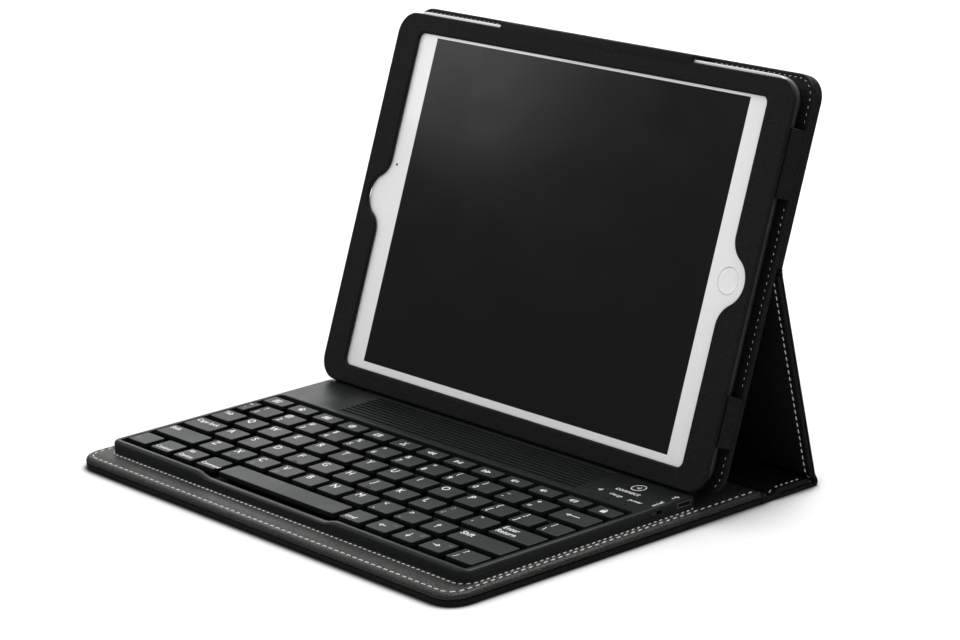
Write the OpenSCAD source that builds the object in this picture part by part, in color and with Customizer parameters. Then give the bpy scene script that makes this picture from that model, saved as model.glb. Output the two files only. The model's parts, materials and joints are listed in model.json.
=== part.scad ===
// Folding tablet case with a wireless keyboard.
// Millimetres. X runs along the width, Y from the front edge to the back, Z up.
// The origin is the middle of the footprint, on the surface that the case stands on.
// The case stands open: the holder leans on its folding leg, with its lower edge
// over the back edge of the keyboard.

/* [Tablet] */
// Long side of the tablet
tablet_w = 240; // [195:1:290]
// Short side of the tablet
tablet_h = 169.5; // [140:0.5:204]
// Thickness of the tablet
tablet_t = 7.5; // [6:0.1:9.2]
// Radius of the tablet's corners
tablet_r = 11; // [4:0.5:16]
// From the lit screen to the tablet's ends
end_bezel = 21.5; // [18:0.5:30]
// From the lit screen to the tablet's long sides
side_bezel = 10.75; // [8:0.25:16]
// Radius of the home button
home_r = 5.6; // [4:0.1:7]
// Travel of the home button
home_travel = 0.3; // [0.2:0.05:0.5]
// Sideways place of the tablet in the holder
tablet_x = 0.2; // [-2:0.1:1]
// Radius of the tablet's front camera
front_camera_r = 0.6; // [0.4:0.1:1.5]
// From the lit screen to the front camera
front_camera_out = 8; // [6:0.5:10]
// From the middle of the screen up to the front camera
front_camera_up = 15; // [0:0.5:16]
// Radius of the tablet's rear camera
rear_camera_r = 3.4; // [2:0.1:4]

/* [Holder] */
// From the tablet's end to the side of the case
side_margin = 5; // [4:0.1:8]
// From the tablet's upper edge to the top of the back panel
top_margin = 2.65; // [2.3:0.05:5]
// Thickness of the leather along the lower edge
bottom_wall = 0.85; // [0.6:0.05:2]
// How far the holder leans, from flat
tilt = 69.7; // [64:0.1:74]
// Thickness of the front frame
frame_t = 1.8; // [1.2:0.1:2.6]
// Thickness of the panel behind the tablet
back_panel_t = 2.4; // [1.6:0.1:3.2]
// From each side of the case to the frame
frame_inset = 0.7; // [0:0.1:1.2]
// From each side of the case to the frame's window
frame_side = 15.6; // [14:0.1:19]
// Lower border of the frame
frame_bottom = 8.5; // [6:0.1:11]
// Upper border of the frame
frame_top = 8.5; // [6:0.1:11]
// How far the top of the frame stays below the tablet's upper edge
frame_drop = 1.15; // [0.5:0.05:2]
// Radius of the finger notch around the home button
button_notch_r = 10.6; // [9:0.1:10.8]
// Radius that blends the home button notch into the frame
button_notch_blend = 11; // [4:0.5:14]
// Radius of the notch at the other end
camera_notch_r = 9.9; // [8:0.1:10.4]
// Radius that blends that notch into the frame
camera_notch_blend = 9.5; // [4:0.5:18]
// Radius of the rear camera hole
camera_hole_r = 6.5; // [5:0.1:8]
// Left end of the top tab
top_tab_left = -57; // [-80:1:-30]
// Right end of the top tab
top_tab_right = 63; // [30:1:80]
// Low end of the lower side tab, up the holder
low_tab_from = 20.4; // [14:0.2:30]
// Length of the lower side tab
low_tab_len = 21.2; // [10:0.2:30]
// Low end of the upper side tab
high_tab_from = 122.5; // [90:0.5:130]
// Length of the upper side tab
high_tab_len = 28.5; // [10:0.5:34]
// Thickness of the tabs
tab_t = 1.6; // [1:0.1:2.2]
// Clearance between the tablet and the leather around it
tablet_gap = 0.15; // [0.1:0.05:0.4]

/* [Case] */
// Thickness of the base panel
base_t = 5.2; // [4:0.1:7]
// Thickness of the spine
spine_t = 4; // [3:0.1:5]
// Depth of the spine between its two creases
spine_d = 27; // [22:0.5:34]
// Thickness of the leg
leg_t = 3; // [2.6:0.1:3.2]
// Thickness of the upper cover glued behind the holder
cover_t = 3.4; // [3.3:0.1:4.2]
// Thickness of one layer of leather
skin_t = 0.9; // [0.6:0.1:1.2]
// Width of the turned edge of a panel
edge_w = 2.2; // [1.6:0.1:3]
// Groove between the two turned layers of an edge
edge_groove = 0.4; // [0.2:0.1:0.8]
// Radius of the outer corners of the case
corner_r = 10; // [5:0.5:14]
// Radius of the leather bead along each crease
bead_r = 0.5; // [0.4:0.05:0.7]
// Gap between a bead and the panel that turns on it
bead_gap = 0.3; // [0.25:0.05:0.5]
// Thin leather between a crease and the stiff part of a panel
crease_band = 5; // [3:0.5:8]
// From the front of the base to the keyboard
front_apron = 13.5; // [8:0.5:20]
// From the back of the keyboard to the first crease
rear_apron = 34; // [26:0.5:44]
// Height of the back crease above the holder's lower edge
back_crease_v = 94.6; // [88:0.2:104]

/* [Keyboard] */
// From the side of the case to the keyboard
keyboard_margin = 6.5; // [4:0.1:10]
// Thickness of the keyboard
keyboard_t = 5.1; // [5.1:0.1:6.5]
// Radius of the keyboard's corners
keyboard_r = 4; // [4:0.5:8]
// Width of the rim around the keys
rim_w = 3; // [2.8:0.1:4.4]
// Radius of the keyboard's upper back edge
keyboard_edge_r = 2; // [1:0.1:2.4]
// Depth of the strip behind the keys
strip_d = 32.1; // [30:0.1:40]
// From the rim to the keys at the sides
well_side = 1.25; // [0.6:0.05:2]
// From the rim to the keys at the front
well_front = 3.4; // [1:0.1:4]
// From the keys to the strip behind them
well_back = 4.1; // [1:0.1:5]
// Depth of the thumb scoop along the space bar
scoop_depth = 1.7; // [0.5:0.1:2]
// Length of the slope at each end of the scoop
scoop_slope = 9; // [5:0.5:14]
// Thickness of the shell's upper wall
deck_t = 1; // [0.9:0.1:1.5]
// Thickness of the shell's side walls around the strip
wall_t = 1.6; // [1.2:0.1:2.2]
// Number of grooves pressed into the strip
groove_count = 9; // [5:1:11]
// Distance from one groove to the next
groove_pitch = 2.6; // [2:0.1:2.8]
// Width of one groove
groove_w = 1.1; // [0.6:0.1:1.4]
// Depth of one groove
groove_depth = 0.35; // [0.2:0.05:0.5]
// Left end of the grooves
groove_left = -78; // [-90:1:-60]
// Right end of the grooves
groove_right = 76; // [60:1:80]

/* [Keys] */
// Gap between the tops of two keys
key_gap = 3.93; // [3:0.05:4.6]
// Distance from one row of keys to the next
row_pitch = 14.43; // [12.5:0.05:15.5]
// Depth of a function key's top
function_key_d = 7.35; // [6:0.05:9]
// Height of a key cap
key_h = 1.9; // [1.6:0.1:2]
// How far a key goes down
key_travel = 1.4; // [1:0.05:1.5]
// How far the key tops stand above the rim
key_proud = 0.15; // [-0.4:0.05:0.3]
// How far the foot of a key spreads past its top
key_flare = 0.5; // [0.2:0.05:0.8]
// Radius of a key's corners
key_r = 0.8; // [0.4:0.1:1.4]

/* [Controls] */
// Radius of the connect button
connect_r = 3.5; // [2.5:0.1:4]
// Travel of the connect button
connect_travel = 0.6; // [0.3:0.05:0.7]
// Place of the connect button from the keyboard's right side
connect_from_right = 22.5; // [18:0.5:34]
// Place of the connect button from the keyboard's back
connect_from_back = 11.5; // [7:0.5:14]
// Travel of the power switch
switch_travel = 3; // [2:0.1:4]
// Length of the switch's knob
switch_l = 3; // [2:0.1:4]
// Middle of the charging port from the keyboard's back
port_from_back = 7.9; // [7:0.1:10]
// Middle of the power switch at off, from the keyboard's back
switch_from_back = 25; // [22:0.5:27]

/* [Hidden] */
$fn = 48;

// Holder, measured up from its lower edge (v) and out from the tablet's face (off)
case_w = tablet_w + 2 * side_margin;
tablet_v = bottom_wall + 2 * tablet_gap;
holder_h = tablet_v + tablet_h + top_margin;
frame_h = tablet_v + tablet_h - frame_drop;
tablet_mid_v = tablet_v + tablet_h / 2;
panel_front = -tablet_t - tablet_gap;
panel_back = panel_front - back_panel_t;
cover_back = panel_back - cover_t;
window_x = case_w / 2 - frame_side;
screen_w = tablet_w - 2 * end_bezel;
screen_h = tablet_h - 2 * side_bezel;
home_x = tablet_x + (tablet_w + screen_w) / 4;
front_camera_x = tablet_x - screen_w / 2 - front_camera_out;
front_camera_v = tablet_mid_v + front_camera_up;
rear_camera_x = tablet_x - tablet_w / 2 + 13;
rear_camera_v = tablet_v + tablet_h - 12;
glass_t = 0.9;
tab_back_v = tablet_v + tablet_h + 2 * tablet_gap;

// Keyboard, from the front of the base
keyboard_w = case_w - 2 * keyboard_margin;
well_w = keyboard_w - 2 * rim_w;
field_w = well_w - 2 * well_side;
field_d = 5 * row_pitch + function_key_d;
keyboard_d = rim_w + well_front + field_d + well_back + strip_d;
base_d = front_apron + keyboard_d + rear_apron;

// How the holder stands, from the front of the base
pivot_z = bead_r;
pivot_off = cover_back + pivot_z;
rest_gap = 0.1;
rest_off = 1;
up = [cos(tilt), sin(tilt)];
out = [-sin(tilt), cos(tilt)];
edge_centre = [front_apron + keyboard_d, base_t + keyboard_t]
    - [keyboard_edge_r, keyboard_edge_r];
holder_foot = edge_centre + (keyboard_edge_r + rest_gap) * up + rest_off * out;
top_reach = (holder_foot + holder_h * up + cover_back * out)[0];
front_y = -max(top_reach, base_d + spine_d + bead_r) / 2;
keyboard_y = front_y + front_apron;
keyboard_back = keyboard_y + keyboard_d;
strip_y = keyboard_back - strip_d;
field_x = -field_w / 2;
field_y = keyboard_y + rim_w + well_front;
keyboard_top = base_t + keyboard_t;
floor_t = 1;
split_z = base_t + 1.7;
floor_z = base_t + floor_t;
deck_under = keyboard_top - deck_t;
key_top = keyboard_top + key_proud;

// Keys are counted in cells, one letter key wide
CELLS = 14.067;
cell_w = (field_w + key_gap) / CELLS;
NUMBER_START = 0.538;
Q_START = 1.067;
A_START = 1.385;
Z_START = 1.887;
SPACE_START = 4;
SPACE_END = 8.9;

// Controls and what is inside the strip
connect_x = keyboard_w / 2 - connect_from_right;
connect_y = keyboard_back - connect_from_back;
port_y = keyboard_back - port_from_back;
switch_y = keyboard_back - switch_from_back;
port_w = 7.4;
port_h = 2.2;
port_d = 5.6;
board_t = 0.7;
board_z = floor_z + 0.02;
board_top = board_z + board_t;
battery_w = 60;
battery_d = 22;
battery_t = 2.6;
screw_r = 0.6;
screw_head_r = 1.2;
screw_head_h = 0.5;
boss_r = 1.6;
lens_r = 0.7;
lens_y = strip_y + 3.6;
magnet = [18, 6, 1.4];
plate = [18, 6, 0.8];
closure_x = case_w / 3 - magnet[0] / 2;
running_gap = 0.3;

// Creases, and the leg between the rear crease and the holder
crease1_y = front_y + base_d;
crease2_y = crease1_y + spine_d;
holder_at = holder_foot + [front_y, 0];
crease3 = holder_at + back_crease_v * up + pivot_off * out;
leg_reach = crease3 - [crease2_y, pivot_z];
leg_l = norm(leg_reach);
leg_angle = atan2(leg_reach[1], leg_reach[0]);
lip = bead_r + bead_gap;
leg_lip = lip + 0.2;

// ---- outlines ----

module corner_cut(r) difference() {
    translate([-1, -1]) square(r + 1);
    translate([r, r]) circle(r);
}

// A sheet centred on X that starts at Y = 0, with its near and far corners rounded
module sheet_outline(w, d, r_near, r_far) difference() {
    translate([-w / 2, 0]) square([w, d]);
    for (side = [0, 1]) mirror([side, 0]) {
        if (r_near > 0) translate([-w / 2, 0]) corner_cut(r_near);
        if (r_far > 0) translate([-w / 2, d]) mirror([0, 1]) corner_cut(r_far);
    }
}

module inner_outline(w, d, r_near, r_far, inset) translate([0, inset])
    sheet_outline(w - 2 * inset, d - 2 * inset, max(r_near - inset, 0), max(r_far - inset, 0));

// ---- stiffened leather panels, outer face at Z = 0 and inner face at Z = t ----

// Outer layer: a sheet with thin tails towards its creases and a turned edge
module panel_skin(w, d, t, r_near, r_far, tail_near, tail_far) {
    translate([0, -tail_near]) linear_extrude(skin_t)
        sheet_outline(w, d + tail_near + tail_far, r_near, r_far);
    linear_extrude((t - edge_groove) / 2) difference() {
        sheet_outline(w, d, r_near, r_far);
        inner_outline(w, d, r_near, r_far, edge_w);
    }
}

module panel_board(w, d, t, r_near, r_far) translate([0, 0, skin_t])
    linear_extrude(t - 2 * skin_t) inner_outline(w, d, r_near, r_far, edge_w + 0.1);

// Inner layer: a sheet with its edge turned towards the outer layer
module panel_lining(w, d, t, r_near, r_far) {
    translate([0, 0, t - skin_t]) linear_extrude(skin_t) sheet_outline(w, d, r_near, r_far);
    translate([0, 0, (t + edge_groove) / 2]) linear_extrude((t - edge_groove) / 2) difference() {
        sheet_outline(w, d, r_near, r_far);
        inner_outline(w, d, r_near, r_far, edge_w);
    }
}

module bead(y, z) translate([-case_w / 2 + 2, y, z]) rotate([0, 90, 0])
    cylinder(h = case_w - 4, r = bead_r);

// ---- base ----

base_panel_d = base_d - crease_band;

module base_place() translate([0, front_y, 0]) children();

module base_outer_skin() color("#1c1c1c") base_place()
    panel_skin(case_w, base_panel_d, base_t, corner_r, 0, 0, crease_band - lip);

module base_board() color("#8a7a60") difference() {
    base_place() panel_board(case_w, base_panel_d, base_t, corner_r, 0);
    magnet_blanks(0.05);
}

module base_lining() color("#2a2826") base_place()
    panel_lining(case_w, base_panel_d, base_t, corner_r, 0);

module front_crease() color("#1c1c1c") bead(crease1_y, pivot_z);

// Magnets under the lining at the front edge, which hold the case shut
module magnet_blanks(gap) for (side = [0, 1]) mirror([side, 0, 0])
    translate([closure_x - gap, front_y + 4 - gap, base_t - skin_t - magnet[2] - gap])
        cube(magnet + [2 * gap, 2 * gap, 2 * gap]);

module closure_magnets() color("silver") magnet_blanks(0);

// ---- keyboard ----

module keyboard_outline() translate([0, keyboard_y])
    sheet_outline(keyboard_w, keyboard_d, keyboard_r, keyboard_r);

module well_outline() translate([0, keyboard_y + rim_w])
    sheet_outline(well_w, keyboard_d - rim_w - strip_d, keyboard_r - rim_w, 2.5);

module strip_cavity_outline() translate([0, strip_y + wall_t])
    sheet_outline(keyboard_w - 2 * wall_t, strip_d - 2 * wall_t, 1, keyboard_r - wall_t);

strip_screws = [for (x = [-1, 1], y = [strip_y + 4.2, keyboard_back - 4.2])
    [x * (keyboard_w / 2 - 9), y]];
rim_screws = [for (x = [-1, 1]) [x * (keyboard_w / 2 - rim_w / 2), keyboard_y + 14]];

module screw_holes(z, h, r) for (at = concat(strip_screws, rim_screws))
    translate([at[0], at[1], z]) cylinder(h = h, r = r);

module keyboard_bottom_shell() color("#1e2022") difference() {
    translate([0, 0, base_t]) linear_extrude(split_z - base_t) keyboard_outline();
    translate([0, 0, floor_z]) linear_extrude(keyboard_t) well_outline();
    translate([0, 0, floor_z]) linear_extrude(keyboard_t) strip_cavity_outline();
    screw_holes(base_t - 1, keyboard_t, screw_r + 0.1);
    screw_holes(base_t - 1, 1 + screw_head_h, screw_head_r + 0.1);
}

// The rim dips along the space bar, so that the thumbs reach it
module thumb_scoop() {
    left = field_x + SPACE_START * cell_w;
    right = field_x + SPACE_END * cell_w - key_gap;
    translate([0, keyboard_y + rim_w + 0.5, keyboard_top]) rotate([90, 0, 0])
        linear_extrude(rim_w + 1.5) polygon([
            [left - scoop_slope, 0.5], [left - scoop_slope, 0], [left, -scoop_depth],
            [right, -scoop_depth], [right + scoop_slope, 0], [right + scoop_slope, 0.5]
        ]);
}

module back_edge_round() translate([-case_w / 2, keyboard_back, keyboard_top])
    rotate([0, 90, 0]) linear_extrude(case_w) difference() {
        translate([-1, -keyboard_edge_r]) square([keyboard_edge_r + 1, keyboard_edge_r + 1]);
        translate([keyboard_edge_r, -keyboard_edge_r]) circle(keyboard_edge_r);
    }

module strip_grooves() for (n = [0 : groove_count - 1])
    translate([groove_left, strip_y + 4.2 + n * groove_pitch, keyboard_top - groove_depth])
        cube([groove_right - groove_left, groove_w, 1]);

function lens_x(n) = connect_x + (n - 1) * 10.6;

module lens_rods(r, z, h) for (n = [0 : 2])
    translate([lens_x(n), lens_y, z]) cylinder(h = h, r = r, $fn = 24);

module port_cut() translate([keyboard_w / 2 - wall_t - 1, port_y - port_w / 2 - 0.15, board_top])
    cube([wall_t + 3, port_w + 0.3, port_h + 0.2]);

module switch_cut() translate([keyboard_w / 2 - wall_t - 1, switch_y - switch_l / 2 - running_gap,
    board_top + 0.5])
    cube([wall_t + 3, switch_l + switch_travel + 2 * running_gap, 1.6]);

module keyboard_top_shell() color("#26292a") difference() {
    union() {
        difference() {
            translate([0, 0, split_z]) linear_extrude(keyboard_top - split_z) keyboard_outline();
            translate([0, 0, split_z - 1]) linear_extrude(keyboard_t + 2) well_outline();
            translate([0, 0, split_z - 1]) linear_extrude(deck_under - split_z + 1)
                strip_cavity_outline();
        }
        for (at = strip_screws) translate([at[0], at[1], split_z])
            cylinder(h = keyboard_top - split_z - deck_t / 2, r = boss_r);
    }
    thumb_scoop();
    back_edge_round();
    strip_grooves();
    translate([connect_x, connect_y, deck_under - 1]) cylinder(h = 4, r = connect_r + running_gap);
    lens_rods(lens_r + 0.05, deck_under - 1, 4);
    port_cut();
    switch_cut();
    screw_holes(split_z - 1, 2.6, screw_r);
}

// Rubber sheet under the keys with a low dome under each cell
module key_membrane() color("#151515") {
    translate([0, keyboard_y + rim_w + 0.2, floor_z + 0.02]) linear_extrude(0.45)
        sheet_outline(well_w - 0.4, keyboard_d - rim_w - strip_d - 0.4, 3, 2.3);
    for (row = [0 : 4], cell = [0 : 12])
        translate([field_x + (cell + 0.8) * cell_w, field_y + (row + 0.35) * row_pitch, floor_z + 0.3])
            cylinder(h = key_top - key_h - key_travel - floor_z - 0.6, r = 2, $fn = 16);
}

module circuit_board() color("#1e5a38") difference() {
    union() {
        translate([6, strip_y + 4, board_z]) cube([keyboard_w / 2 - 20, strip_d - 8, board_t]);
        translate([keyboard_w / 2 - 16, strip_y + 7, board_z])
            cube([16 - wall_t - 0.3, strip_d - 14, board_t]);
        translate([connect_x - 2, connect_y - 2, board_z])
            cube([4, 4, deck_under - 0.85 - connect_travel - board_z]);
        translate([30, strip_y + 9, board_z]) cube([8, 8, board_t + 0.8]);
    }
    translate([20, strip_y + 7, board_z - 1]) cylinder(h = 4, r = 0.8, $fn = 24);
}

module battery() color("#9aa0a6") translate([-battery_w - 4, strip_y + 6, floor_z + 0.02])
    cube([battery_w, battery_d, battery_t]);

module usb_port() color("silver")
    translate([keyboard_w / 2 - port_d - 0.1, port_y - port_w / 2, board_top + 0.05])
    difference() {
        cube([port_d, port_w, port_h]);
        translate([0.4, 0.35, 0.35]) cube([port_d, port_w - 0.7, port_h - 0.7]);
    }

module status_lenses() color("#0d0d0d") lens_rods(lens_r, deck_under - 0.3, deck_t + 0.3);

module keyboard_screws() color("silver") {
    screw_holes(base_t + 0.05, screw_head_h - 0.05, screw_head_r);
    screw_holes(base_t + 0.1, split_z + 1.5 - base_t - 0.1, screw_r);
}

module power_switch() color("#111111") {
    translate([keyboard_w / 2 - wall_t - 0.2, switch_y - switch_l / 2, board_top + 0.8])
        cube([wall_t + 0.6, switch_l, 1]);
    translate([keyboard_w / 2 - wall_t - 1.4, switch_y - switch_l / 2 - 1, board_top + 0.4])
        cube([1.2, switch_l + 2, 1.8]);
}

module connect_button() color("#2b2e30") translate([connect_x, connect_y, 0]) {
    translate([0, 0, deck_under - 0.7]) cylinder(h = deck_t + 0.8, r = connect_r);
    translate([0, 0, deck_under - 0.7]) cylinder(h = 0.5, r = connect_r + 0.8);
}

// ---- keys ----

module key_cap(x, y, w, d) translate([x, y, key_top - key_h]) {
    translate([-key_flare, -key_flare]) linear_extrude(key_h / 2)
        translate([w / 2 + key_flare, 0]) sheet_outline(w + 2 * key_flare, d + 2 * key_flare, key_r, key_r);
    linear_extrude(key_h) translate([w / 2, 0]) sheet_outline(w, d, key_r, key_r);
}

// One key from one cell to another in a row counted from the front
module key(row, from, to) color("#33373a")
    key_cap(field_x + from * cell_w, field_y + row * row_pitch,
        (to - from) * cell_w - key_gap, row_pitch - key_gap);

module key_run(row, from, count) for (n = [0 : count - 1]) key(row, from + n, from + n + 1);

module function_keys() color("#33373a") for (n = [0 : 12]) {
    gap = key_gap - 0.3;
    pitch = (field_w + gap) / 13;
    key_cap(field_x + n * pitch, field_y + 5 * row_pitch, pitch - gap, function_key_d);
}

module number_keys() key_run(4, NUMBER_START, 12);
module q_row_keys() key_run(3, Q_START, 13);
module a_row_keys() key_run(2, A_START, 11);
module z_row_keys() key_run(1, Z_START, 9);
module grave_key() key(4, 0, NUMBER_START);
module backspace_key() key(4, NUMBER_START + 12, CELLS);
module tab_key() key(3, 0, Q_START);
module caps_lock_key() key(2, 0, A_START);
module enter_key() key(2, A_START + 11, CELLS);
module left_shift_key() key(1, 0, Z_START);
module up_key() key(1, Z_START + 9, Z_START + 10);
module right_shift_key() key(1, Z_START + 10, CELLS);
module fn_key() key(0, 0, 1);
module control_key() key(0, 1, 2);
module option_key() key(0, 2, 3);
module left_command_key() key(0, 3, SPACE_START);
module space_bar() key(0, SPACE_START, SPACE_END);
module right_command_key() key(0, SPACE_END, SPACE_END + 1);
module left_key() key(0, SPACE_END + 1, SPACE_END + 2);
module down_key() key(0, SPACE_END + 2, SPACE_END + 3);
module right_key() key(0, SPACE_END + 3, SPACE_END + 4);
module slash_key() key(0, SPACE_END + 4, CELLS);

// ---- spine ----

module spine_place() translate([0, crease1_y + crease_band, 0]) children();
spine_panel_d = spine_d - 2 * crease_band;

module spine_skin() color("#1c1c1c") spine_place()
    panel_skin(case_w, spine_panel_d, spine_t, 0, 0, crease_band - lip, crease_band - bead_r - 0.1);

module spine_board() color("#8a7a60") spine_place()
    panel_board(case_w, spine_panel_d, spine_t, 0, 0);

module spine_lining() color("#232120") spine_place()
    panel_lining(case_w, spine_panel_d, spine_t, 0, 0);

module rear_crease() color("#1c1c1c") bead(crease2_y, pivot_z);

// ---- leg, laid along the line from the rear crease to the back crease ----

module leg_place() translate([0, crease2_y, pivot_z]) rotate([leg_angle, 0, 0])
    translate([0, crease_band, -pivot_z]) children();
leg_panel_d = leg_l - crease_band - 2 * lip;

module leg_skin() color("#1c1c1c") leg_place()
    panel_skin(case_w, leg_panel_d, leg_t, 0, 0, crease_band - leg_lip, lip);

module leg_board() color("#8a7a60") leg_place()
    panel_board(case_w, leg_panel_d, leg_t, 0, 0);

module leg_lining() color("#232120") leg_place()
    panel_lining(case_w, leg_panel_d, leg_t, 0, 0);

module back_crease() color("#1c1c1c") bead(crease3[0], crease3[1]);

// ---- holder, drawn flat with Y up the holder and Z out of the tablet's face ----

module holder_place() translate([0, holder_at[0], holder_at[1]]) rotate([tilt, 0, 0]) children();

cover_v = back_crease_v + lip;
cover_h = holder_h - cover_v;

module camera_hole() translate([rear_camera_x, rear_camera_v, cover_back - 1])
    cylinder(h = cover_t + back_panel_t + 2, r = camera_hole_r);

module upper_cover_skin() color("#1c1c1c") holder_place() difference() {
    translate([0, cover_v, cover_back]) union() {
        linear_extrude(skin_t) sheet_outline(case_w, cover_h, 0, corner_r);
        linear_extrude(cover_t) difference() {
            sheet_outline(case_w, cover_h, 0, corner_r);
            inner_outline(case_w, cover_h, 0, corner_r, edge_w);
        }
    }
    camera_hole();
}

module upper_cover_board() color("#8a7a60") holder_place() difference() {
    translate([0, cover_v, cover_back + skin_t]) linear_extrude(cover_t - skin_t)
        inner_outline(case_w, cover_h, 0, corner_r, edge_w + 0.1);
    camera_hole();
}

module holder_back_panel() color("#232120") holder_place() difference() {
    translate([0, 0, panel_back]) linear_extrude(back_panel_t)
        sheet_outline(case_w, holder_h, corner_r, corner_r);
    camera_hole();
    strike_plate_blanks(0.05);
}

// Steel plates let into the back panel, which the magnets in the base draw to
module strike_plate_blanks(gap) for (side = [0, 1]) mirror([side, 0, 0])
    translate([closure_x - gap, holder_h - 11 - gap, panel_front - plate[2] - gap])
        cube(plate + [2 * gap, 2 * gap, 2 * gap]);

module strike_plates() color("silver") holder_place() strike_plate_blanks(0);

function arc(centre, r, from, to, steps) = [for (n = [0 : steps])
    let (a = from + (to - from) * n / steps) centre + r * [cos(a), sin(a)]];

// One side of the window with its round notch, from below the notch to above it. The
// blending arcs touch the notch's circle and the window's edge.
function notch_side(edge, r, blend) =
    let (rise = sqrt(r * (r + 2 * blend)))
    let (lean = atan2(rise, blend), middle = [edge + blend, rise])
    concat(
        arc([middle[0], -rise], blend, 180, 180 - lean, 10),
        arc([edge, 0], r, -lean, lean, 24),
        arc(middle, blend, 180 + lean, 180, 10)
    );

module window_outline() {
    low = frame_bottom;
    high = frame_h - frame_top;
    corner = 3;
    right = notch_side(window_x, button_notch_r, button_notch_blend);
    left = notch_side(window_x, camera_notch_r, camera_notch_blend);
    polygon(concat(
        arc([window_x - corner, low + corner], corner, -90, 0, 6),
        [for (at = right) [at[0], tablet_mid_v + at[1]]],
        arc([window_x - corner, high - corner], corner, 0, 90, 6),
        arc([-window_x + corner, high - corner], corner, 90, 180, 6),
        [for (at = left) [-at[0], tablet_mid_v - at[1]]],
        arc([-window_x + corner, low + corner], corner, 180, 270, 6)
    ));
}

module holder_frame() color("#1c1c1c") holder_place() translate([0, 0, tablet_gap])
    linear_extrude(frame_t) difference() {
        sheet_outline(case_w - 2 * frame_inset, frame_h, corner_r, corner_r);
        window_outline();
    }

// Leather that runs from the frame over the tablet's upper edge to the back panel
module holder_top_tab() color("#1c1c1c") holder_place() translate([top_tab_left, 0, 0])
    rotate([90, 0, 90]) linear_extrude(top_tab_right - top_tab_left) polygon([
        [frame_h, tablet_gap + frame_t], [tab_back_v + tab_t, tablet_gap + frame_t],
        [tab_back_v + tab_t, panel_front], [tab_back_v, panel_front],
        [tab_back_v, tablet_gap], [frame_h, tablet_gap]
    ]);

module holder_side_tabs() color("#1c1c1c") holder_place() {
    for (tab = [[low_tab_from, low_tab_len], [high_tab_from, high_tab_len]])
        translate([case_w / 2 - tab_t, tab[0], panel_front])
            cube([tab_t, tab[1], tablet_t + 2 * tablet_gap]);
}

module holder_bottom_edge() color("#1c1c1c") holder_place()
    translate([-case_w / 2 + corner_r, 0, panel_front])
        cube([case_w - 2 * corner_r, bottom_wall, tablet_t + 2 * tablet_gap]);

// ---- tablet ----

module tablet_outline() translate([tablet_x, tablet_v])
    sheet_outline(tablet_w, tablet_h, tablet_r, tablet_r);

module screen_outline(gap) translate([tablet_x, tablet_mid_v - screen_h / 2 - gap])
    sheet_outline(screen_w + 2 * gap, screen_h + 2 * gap, 0, 0);

module tablet_shell() color("#d8dadc") holder_place() difference() {
    translate([0, 0, -tablet_t]) linear_extrude(tablet_t - glass_t) tablet_outline();
    translate([home_x, tablet_mid_v, -glass_t - 0.9 - home_travel])
        cylinder(h = 3, r = home_r + 0.9);
    translate([rear_camera_x, rear_camera_v, -tablet_t - 1]) cylinder(h = 1.6, r = rear_camera_r);
}

module tablet_glass() color("white") holder_place() translate([0, 0, -glass_t])
    linear_extrude(glass_t) difference() {
        tablet_outline();
        screen_outline(0);
        translate([home_x, tablet_mid_v]) circle(home_r + 0.15);
        translate([front_camera_x, front_camera_v]) circle(front_camera_r, $fn = 24);
    }

module tablet_display() color("#101112") holder_place() translate([0, 0, -glass_t])
    linear_extrude(glass_t) screen_outline(0);

module camera_lenses() color("#0c0c10") holder_place() {
    translate([front_camera_x, front_camera_v, -glass_t])
        cylinder(h = glass_t, r = front_camera_r, $fn = 24);
    translate([rear_camera_x, rear_camera_v, -tablet_t]) cylinder(h = 0.6, r = rear_camera_r);
}

module home_button() color("white") holder_place() translate([home_x, tablet_mid_v, 0]) {
    translate([0, 0, -glass_t]) cylinder(h = glass_t - 0.1, r = home_r);
    translate([0, 0, -glass_t - 0.7]) cylinder(h = 0.65, r = home_r + 0.6);
}

base_outer_skin();
base_board();
base_lining();
front_crease();
keyboard_bottom_shell();
keyboard_top_shell();
key_membrane();
circuit_board();
battery();
usb_port();
status_lenses();
keyboard_screws();
closure_magnets();
power_switch();
connect_button();
function_keys();
number_keys();
q_row_keys();
a_row_keys();
z_row_keys();
grave_key();
backspace_key();
tab_key();
caps_lock_key();
enter_key();
left_shift_key();
up_key();
right_shift_key();
fn_key();
control_key();
option_key();
left_command_key();
space_bar();
right_command_key();
left_key();
down_key();
right_key();
slash_key();
spine_skin();
spine_board();
spine_lining();
rear_crease();
leg_skin();
leg_board();
leg_lining();
back_crease();
upper_cover_skin();
upper_cover_board();
holder_back_panel();
holder_frame();
holder_top_tab();
holder_side_tabs();
holder_bottom_edge();
strike_plates();
tablet_shell();
tablet_glass();
tablet_display();
camera_lenses();
home_button();
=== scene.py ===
"""Looks of a folding tablet case with a wireless keyboard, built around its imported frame.

Working sizes are in millimetres and are read from the frame's own nodes where it has them.
Each sub-assembly is a class: its fields are its sizes, and its methods build and dress its
meshes. Every surface is computed as whole arrays and made a mesh by the class Solid.
"""

import json
import logging
import math
from dataclasses import dataclass
from enum import Enum
from functools import cache
from typing import Callable, Iterable, Sequence

import bmesh
import bpy
import numpy as np
from mathutils import Matrix, Vector, geometry

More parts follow.
